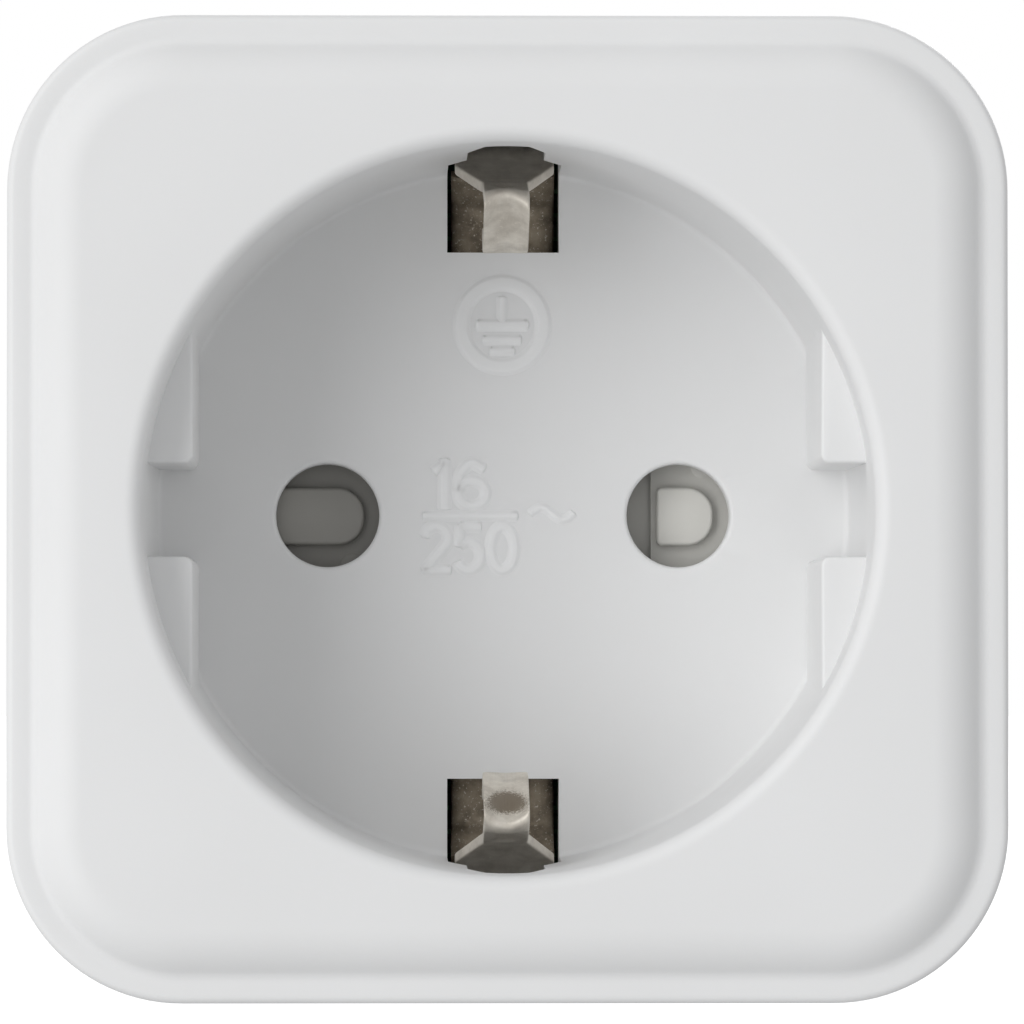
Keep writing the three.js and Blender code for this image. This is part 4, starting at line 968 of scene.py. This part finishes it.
# two low round marks, as an ejector pin leaves on a moulding
mark_foot, mark_top = PLATE_FRONT + 0.2 * MM, PLATE_FRONT - 0.12 * MM
mark = [(0.1 * MM, mark_foot), (0.6 * MM, mark_foot), (0.6 * MM, mark_top + 0.06 * MM),
        (0.5 * MM, mark_top), (0.1 * MM, mark_top)]
ejector_marks = [turned("mark", mark, x, z, 40) for x, z in ((-8.2 * MM, -2.6 * MM), (10.9 * MM, 2.7 * MM))]
carved(plate, merged("pads", [left_pad, right_pad, *ejector_marks]), "UNION")
opening = prism("cut", block_outline(-6.6 * MM, -1.2 * MM, -2.7 * MM, 2.7 * MM, 1.2 * MM),
                PLATE_FRONT - MM, SHUTTER_BACK + MM)
step = prism("cut", block_outline(5.4 * MM, 8.1 * MM, -4 * MM, 4 * MM, 0.2 * MM),
             PLATE_FRONT - 1.2 * MM, PLATE_FRONT + 0.45 * MM)
carved(plate, merged("cuts", [opening, step]), "DIFFERENCE")
grey_plastic = moulded_plastic("shutter_grey", (0.36, 0.35, 0.325), (0.44, 0.43, 0.4), 0.4, 2, 0.006)

# painted light and shade: the moulding is paler towards its right end, its grey giving way to a light one
# over 10 mm, so the pad in the right pin hole looks lit and the one in the left hole shaded
tree, surface, where = workings(grey_plastic)
along = tree.nodes.new("ShaderNodeSeparateXYZ")
tree.links.new(where, along.inputs["Vector"])
share = between(tree, along.outputs["X"], 0.0, 1.0, 0.0, 10 * MM)
grey = surface.inputs["Base Color"].links[0].from_socket
tree.links.new(towards(tree, share, grey, (0.68, 0.67, 0.63)), surface.inputs["Base Color"])
fitted(plate, grey_plastic, "shutter", "shutter")

# Return spring: drawn wire coiled between the case's side and the shutter's end.
spring_low, spring_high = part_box("shutter_spring")


def coiled_wire(name, start, end, radius, wire, turns, middle):
    """A round wire along a helix about X: its centre is at radius times (cos, sin) of the turn
    angle, while X runs from start to end. In the first and last three quarters of a turn it
    advances by one wire's thickness a turn, so the end coils lie against each other."""
    flat = 0.75
    share = np.linspace(0, 1, turns * 32 + 1)
    angle = share * turns * 2 * np.pi
    ease = np.clip((share * turns - flat) / (turns - 2 * flat), 0, 1)
    along = start + (end - start) * ease + 2 * wire * (np.minimum(share * turns, flat) - flat)
    along += 2 * wire * np.maximum(share * turns - (turns - flat), 0) + flat * wire * (1 - 2 * share)
    centre = np.stack([along, middle[0] + radius * np.cos(angle), middle[1] + radius * np.sin(angle)], 1)
    ahead = np.gradient(centre, axis=0)
    ahead /= np.linalg.norm(ahead, axis=1)[:, None]
    out = np.stack([np.zeros_like(angle), np.cos(angle), np.sin(angle)], 1)
    side = np.cross(ahead, out)
    turn = np.linspace(0, 2 * np.pi, 12, endpoint=False)
    rings = centre[:, None] + wire * (np.cos(turn)[None, :, None] * out[:, None]
                                      + np.sin(turn)[None, :, None] * side[:, None])
    return lofted(name, rings, 60)


spring_metal = worn_metal("spring_wire", (0.42, 0.42, 0.41), (0.6, 0.6, 0.59), 0.24, grain=(40, 400, 400))
wire = 0.25 * MM
spring = coiled_wire("shutter_coil", spring_low.x + 2 * wire, spring_high.x - 2 * wire, 1.1 * MM, wire, 6,
                     ((spring_low.y + spring_high.y) / 2, 0.0))
fitted(spring, spring_metal, "shutter_spring", "housing")
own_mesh(spring)

# ---------------------------------------------------------------------------------------------
# Button, light pipe and the parts under them. The cap is the case's polycarbonate, in a pill
# shape with a flange inside; its light pipe is clear; the switch and lamp stand on the radio
# board.
# ---------------------------------------------------------------------------------------------

CAP_TOP = cap_high.z
FLANGE_TOP = cap_low.z + 0.8 * MM
FLANGE, CAP_ROUND = 0.8 * MM, 0.35 * MM
rows = [(0.25 * MM, cap_low.z), (0.0, cap_low.z + 0.2 * MM), (0.0, FLANGE_TOP), (FLANGE, FLANGE_TOP + HAIR)]
rows += [(FLANGE, CAP_TOP - CAP_ROUND)]
rows += [(FLANGE + CAP_ROUND * (1 - math.cos(t)), CAP_TOP - CAP_ROUND * (1 - math.sin(t)))
         for t in np.radians([20, 40, 60, 78])]
# the top is dished by 0.16 mm for a fingertip
rows += [(1.25 * MM, CAP_TOP), (1.9 * MM, CAP_TOP - 0.1 * MM), (2.4 * MM, CAP_TOP - 0.16 * MM)]
rings = []
for inset, height in rows:
    flat = pill(8.0 * MM - 2 * inset, 5.2 * MM - 2 * inset, BUTTON_MIDDLE)
    rings.append(np.column_stack([flat, np.full(len(flat), height)]))
cap = lofted("button_moulding", np.array(rings), 40)
fitted(cap, white_plastic, "button_cap", "button")


def clear_plastic(name, tint, rough, glow=0.0):
    """Clear acrylic: light passes with a faint tint, and fine flow marks vary the surface."""
    material, tree, surface, where = shader(name)
    surface.inputs["Transmission Weight"].default_value = 0.85
    surface.inputs["IOR"].default_value = 1.49
    flow = noise(tree, where, 700, 3, 0.5)
    darker = tuple(0.93 * part for part in tint)
    tree.links.new(between(tree, flow, darker, tint), surface.inputs["Base Color"])
    tree.links.new(between(tree, flow, rough, rough + 0.08), surface.inputs["Roughness"])
    relief(tree, surface, flow, 0.004 * MM, 0.4)
    surface.inputs["Emission Color"].default_value = (*tint, 1)
    surface.inputs["Emission Strength"].default_value = glow
    return material


def upright(name, profile, middle, count=48, smooth=40):
    """A profile of (radius, z) rows turned about an upright line through (x, y)."""
    angle = np.linspace(0, 2 * np.pi, count, endpoint=False)
    radius, height = np.array(profile).T[:, :, None]
    x, y = middle[0] + radius * np.cos(angle), middle[1] + radius * np.sin(angle)
    place = np.broadcast_arrays(x, y, height)
    return lofted(name, np.stack(place, -1), smooth)


PIPE = 1.2 * MM
dome = [(PIPE * math.cos(t), pipe_high.z - 0.25 * MM + 0.25 * MM * math.sin(t))
        for t in np.radians(np.linspace(0, 86, 7))]
lens = upright("light_pipe_rod", [(0.2 * MM, pipe_low.z), (PIPE - 0.1 * MM, pipe_low.z),
                                  (PIPE, pipe_low.z + 0.1 * MM), *dome], PIPE_MIDDLE)
fitted(lens, clear_plastic("clear_pipe", (0.86, 0.9, 0.92), 0.12), "light_pipe", "housing")

# ---------------------------------------------------------------------------------------------
# Inside parts that keep their simple shapes: their edges are softened and each gets its own
# finish. Metals are rolled, plastics are moulded, and the boards carry copper tracks under a
# green mask.
# ---------------------------------------------------------------------------------------------


def finish_node(node, material, edge=0.12 * MM):
    """Gives a node its material, merges its loose corners and rounds its edges."""
    piece = bpy.data.objects[node]
    piece.data.materials.clear()
    piece.data.materials.append(material)
    weld = piece.modifiers.new("weld", "WELD")
    weld.merge_threshold = 0.002 * MM
    if edge:
        bevel = piece.modifiers.new("edges", "BEVEL")
        bevel.width = edge
        bevel.segments = 2
        bevel.limit_method = "ANGLE"
        bevel.angle_limit = math.radians(50)


def board_finish(name):
    """Green solder mask over copper: straight tracks a little raised and lighter, bright round
    pads on a grid and fine specks of weave in the mask."""
    material, tree, surface, where = shader(name)
    tracks = tree.nodes.new("ShaderNodeTexBrick")
    sizes = {"Scale": 260, "Mortar Size": 0.035, "Brick Width": 0.9, "Row Height": 0.35}
    for socket, size in sizes.items():
        tracks.inputs[socket].default_value = size
    turn = tree.nodes.new("ShaderNodeMapping")
    turn.inputs["Rotation"].default_value = (math.radians(90), 0, 0)
    tree.links.new(where, turn.inputs["Vector"])
    tree.links.new(turn.outputs["Vector"], tracks.inputs["Vector"])
    weave = noise(tree, where, 3000, 2, 0.5)
    mask = between(tree, weave, (0.012, 0.085, 0.03), (0.02, 0.13, 0.045))
    tracked = towards(tree, tracks.outputs["Fac"], mask, (0.05, 0.24, 0.09))
    pads = tree.nodes.new("ShaderNodeTexVoronoi")
    pads.inputs["Scale"].default_value = 330
    pads.inputs["Randomness"].default_value = 0.35
    tree.links.new(where, pads.inputs["Vector"])
    round_pad = tree.nodes.new("ShaderNodeMath")
    round_pad.operation = "LESS_THAN"
    round_pad.inputs[1].default_value = 0.17
    tree.links.new(pads.outputs["Distance"], round_pad.inputs[0])
    soldered = towards(tree, round_pad.outputs[0], tracked, (0.55, 0.55, 0.53))
    tree.links.new(soldered, surface.inputs["Base Color"])
    tree.links.new(round_pad.outputs[0], surface.inputs["Metallic"])
    tree.links.new(between(tree, weave, 0.25, 0.4), surface.inputs["Roughness"])
    relief(tree, surface, tracks.outputs["Fac"], 0.02 * MM, 0.6)
    return material


def ferrite_finish(name):
    """Sintered ferrite under varnish: near black, granular, with pale chips."""
    material, tree, surface, where = shader(name)
    grains = noise(tree, where, 4200, 4, 0.7)
    tree.links.new(between(tree, grains, (0.012, 0.011, 0.01), (0.06, 0.057, 0.052), 0.4, 0.75),
                   surface.inputs["Base Color"])
    tree.links.new(between(tree, grains, 0.45, 0.7), surface.inputs["Roughness"])
    relief(tree, surface, grains, 0.02 * MM, 0.5)
    return material


brass = worn_metal("contact_brass", (0.5, 0.33, 0.1), (0.72, 0.52, 0.2), 0.28, grain=(400, 30, 400))
for node in ("line_contact", "neutral_contact", "earth_link_upper", "earth_link_lower"):
    finish_node(node, brass, 0.06 * MM)
finish_node("shunt_resistor", worn_metal("shunt_alloy", (0.36, 0.2, 0.12), (0.56, 0.36, 0.24), 0.36))
finish_node("radio_shield", worn_metal("tinned_steel", (0.48, 0.48, 0.47), (0.64, 0.64, 0.63), 0.26))
zinc = worn_metal("zinc_plate", (0.44, 0.44, 0.42), (0.64, 0.64, 0.61), 0.3, grain=(300, 300, 300))
for number in range(1, 5):
    finish_node(f"housing_screw_{number}", zinc, 0.1 * MM)

black = moulded_plastic("black_polyamide", (0.012, 0.012, 0.013), (0.028, 0.028, 0.03), 0.48, 3, 0.02)
for node in ("contact_carrier", "pin_carrier", "board_header"):
    finish_node(node, black, 0.2 * MM)
for node in ("tact_switch", "tact_switch_stem"):
    finish_node(node, black, 0.1 * MM)
finish_node("relay", moulded_plastic("relay_case", (0.008, 0.01, 0.02), (0.016, 0.02, 0.034), 0.35, 4, 0.015),
            0.3 * MM)
resin = moulded_plastic("chip_resin", (0.01, 0.01, 0.01), (0.026, 0.026, 0.026), 0.55, 1.5, 0.012)
finish_node("metering_chip", resin, 0.1 * MM)
finish_node("supply_chip", resin, 0.1 * MM)
finish_node("x_capacitor", moulded_plastic("film_box", (0.62, 0.4, 0.04), (0.74, 0.5, 0.08), 0.38, 4, 0.012),
            0.25 * MM)
sleeve = moulded_plastic("capacitor_sleeve", (0.01, 0.013, 0.022), (0.024, 0.03, 0.045), 0.22, 5, 0.01)
for node in ("bulk_capacitor_1", "bulk_capacitor_2"):
    finish_node(node, sleeve, 0.15 * MM)
finish_node("varistor", moulded_plastic("dipped_epoxy", (0.02, 0.07, 0.3), (0.035, 0.11, 0.42), 0.3, 8, 0.04),
            0.9 * MM)
finish_node("inductor", ferrite_finish("ferrite"), 0.15 * MM)
glass = clear_plastic("fuse_glass", (0.9, 0.93, 0.93), 0.05)
finish_node("fuse", glass, 0.3 * MM)
finish_node("status_led", clear_plastic("led_resin", (0.9, 0.92, 0.86), 0.2), 0.1 * MM)
boards = board_finish("solder_mask")
finish_node("main_board", boards, 0.06 * MM)
finish_node("radio_board", boards, 0.06 * MM)

# ---------------------------------------------------------------------------------------------
# Studio: a pale floor and a white surround that only the camera sees, a broad key light at the
# viewer's left and a little above, a weak fill from the right, a light behind, and an even grey
# sky.
# ---------------------------------------------------------------------------------------------


def pale_surface(name, glow, tone):
    """Matt paper: a grey tone that reflects, and a white glow of its own."""
    material = bpy.data.materials.new(name)
    material.use_nodes = True
    surface = material.node_tree.nodes["Principled BSDF"]
    surface.inputs["Base Color"].default_value = (tone, tone, tone, 1)
    surface.inputs["Roughness"].default_value = 0.9
    surface.inputs["Specular IOR Level"].default_value = 0.0
    surface.inputs["Emission Color"].default_value = (1, 1, 1, 1)
    surface.inputs["Emission Strength"].default_value = glow
    return material


def seen_only(stage_piece):
    """Keeps a stage piece out of everything but the camera's direct view."""
    for way in ("diffuse", "glossy", "transmission", "volume_scatter", "shadow"):
        setattr(stage_piece, f"visible_{way}", False)


floor_height = cad_box[0].z - 0.05 * MM
bpy.ops.mesh.primitive_plane_add(size=8, location=(0, 0, floor_height))
floor = bpy.context.object
floor.name = "studio_floor"
floor.data.materials.append(pale_surface("floor_paper", 1.0, 0.3))
seen_only(floor)

bpy.ops.mesh.primitive_uv_sphere_add(radius=3.0, segments=64, ring_count=32)
surround = bpy.context.object
surround.name = "studio_surround"
surround.data.materials.append(pale_surface("surround_paper", 1.0, 0.0))
seen_only(surround)


def soft_light(name, place, aim, width, height, power):
    """A rectangular lamp that faces a point, with its size in metres and its power in watts."""
    lamp = bpy.data.lights.new(name, "AREA")
    lamp.shape = "RECTANGLE"
    lamp.size = width
    lamp.size_y = height
    lamp.energy = power
    holder = bpy.data.objects.new(name, lamp)
    bpy.context.scene.collection.objects.link(holder)
    holder.location = place
    holder.rotation_euler = (Vector(aim) - Vector(place)).to_track_quat("-Z", "Y").to_euler()
    return holder


face_middle = Vector((0, FACE_Y, 0))
soft_light("key_light", face_middle + Vector((-0.66, -0.72, 0.18)), face_middle, 0.6, 1.6, 7.6)
soft_light("fill_light", face_middle + Vector((0.9, -0.5, 0.1)), face_middle, 0.7, 0.7, 0.8)
soft_light("back_light", Vector((0.5, 0.9, 0.7)), (0, -0.03, 0), 0.6, 0.6, 8.0)

scene = bpy.context.scene
world = bpy.data.worlds.new("studio_sky")
world.use_nodes = True
sky = world.node_tree.nodes["Background"]
sky.inputs["Color"].default_value = (0.985, 0.992, 1, 1)
sky.inputs["Strength"].default_value = 0.5
scene.world = world
scene.view_settings.view_transform = "Standard"
scene.view_settings.look = "None"

# The camera stands 38 cm from the face, a little left of the axis and below it, with a long lens
# on a film 36 mm wide.
camera = bpy.data.objects.new("camera", bpy.data.cameras.new("camera"))
scene.collection.objects.link(camera)
camera.location = (-6.5 * MM, FACE_Y - 382 * MM, -8.9 * MM)
aim = Vector((0.18 * MM, FACE_Y, -0.21 * MM))
camera.rotation_mode = "QUATERNION"
camera.rotation_quaternion = (aim - camera.location).to_track_quat("-Z", "Y")
camera.data.sensor_width = 36
camera.data.lens = 259.4
camera.data.clip_start = 0.01
camera.data.clip_end = 20
scene.camera = camera
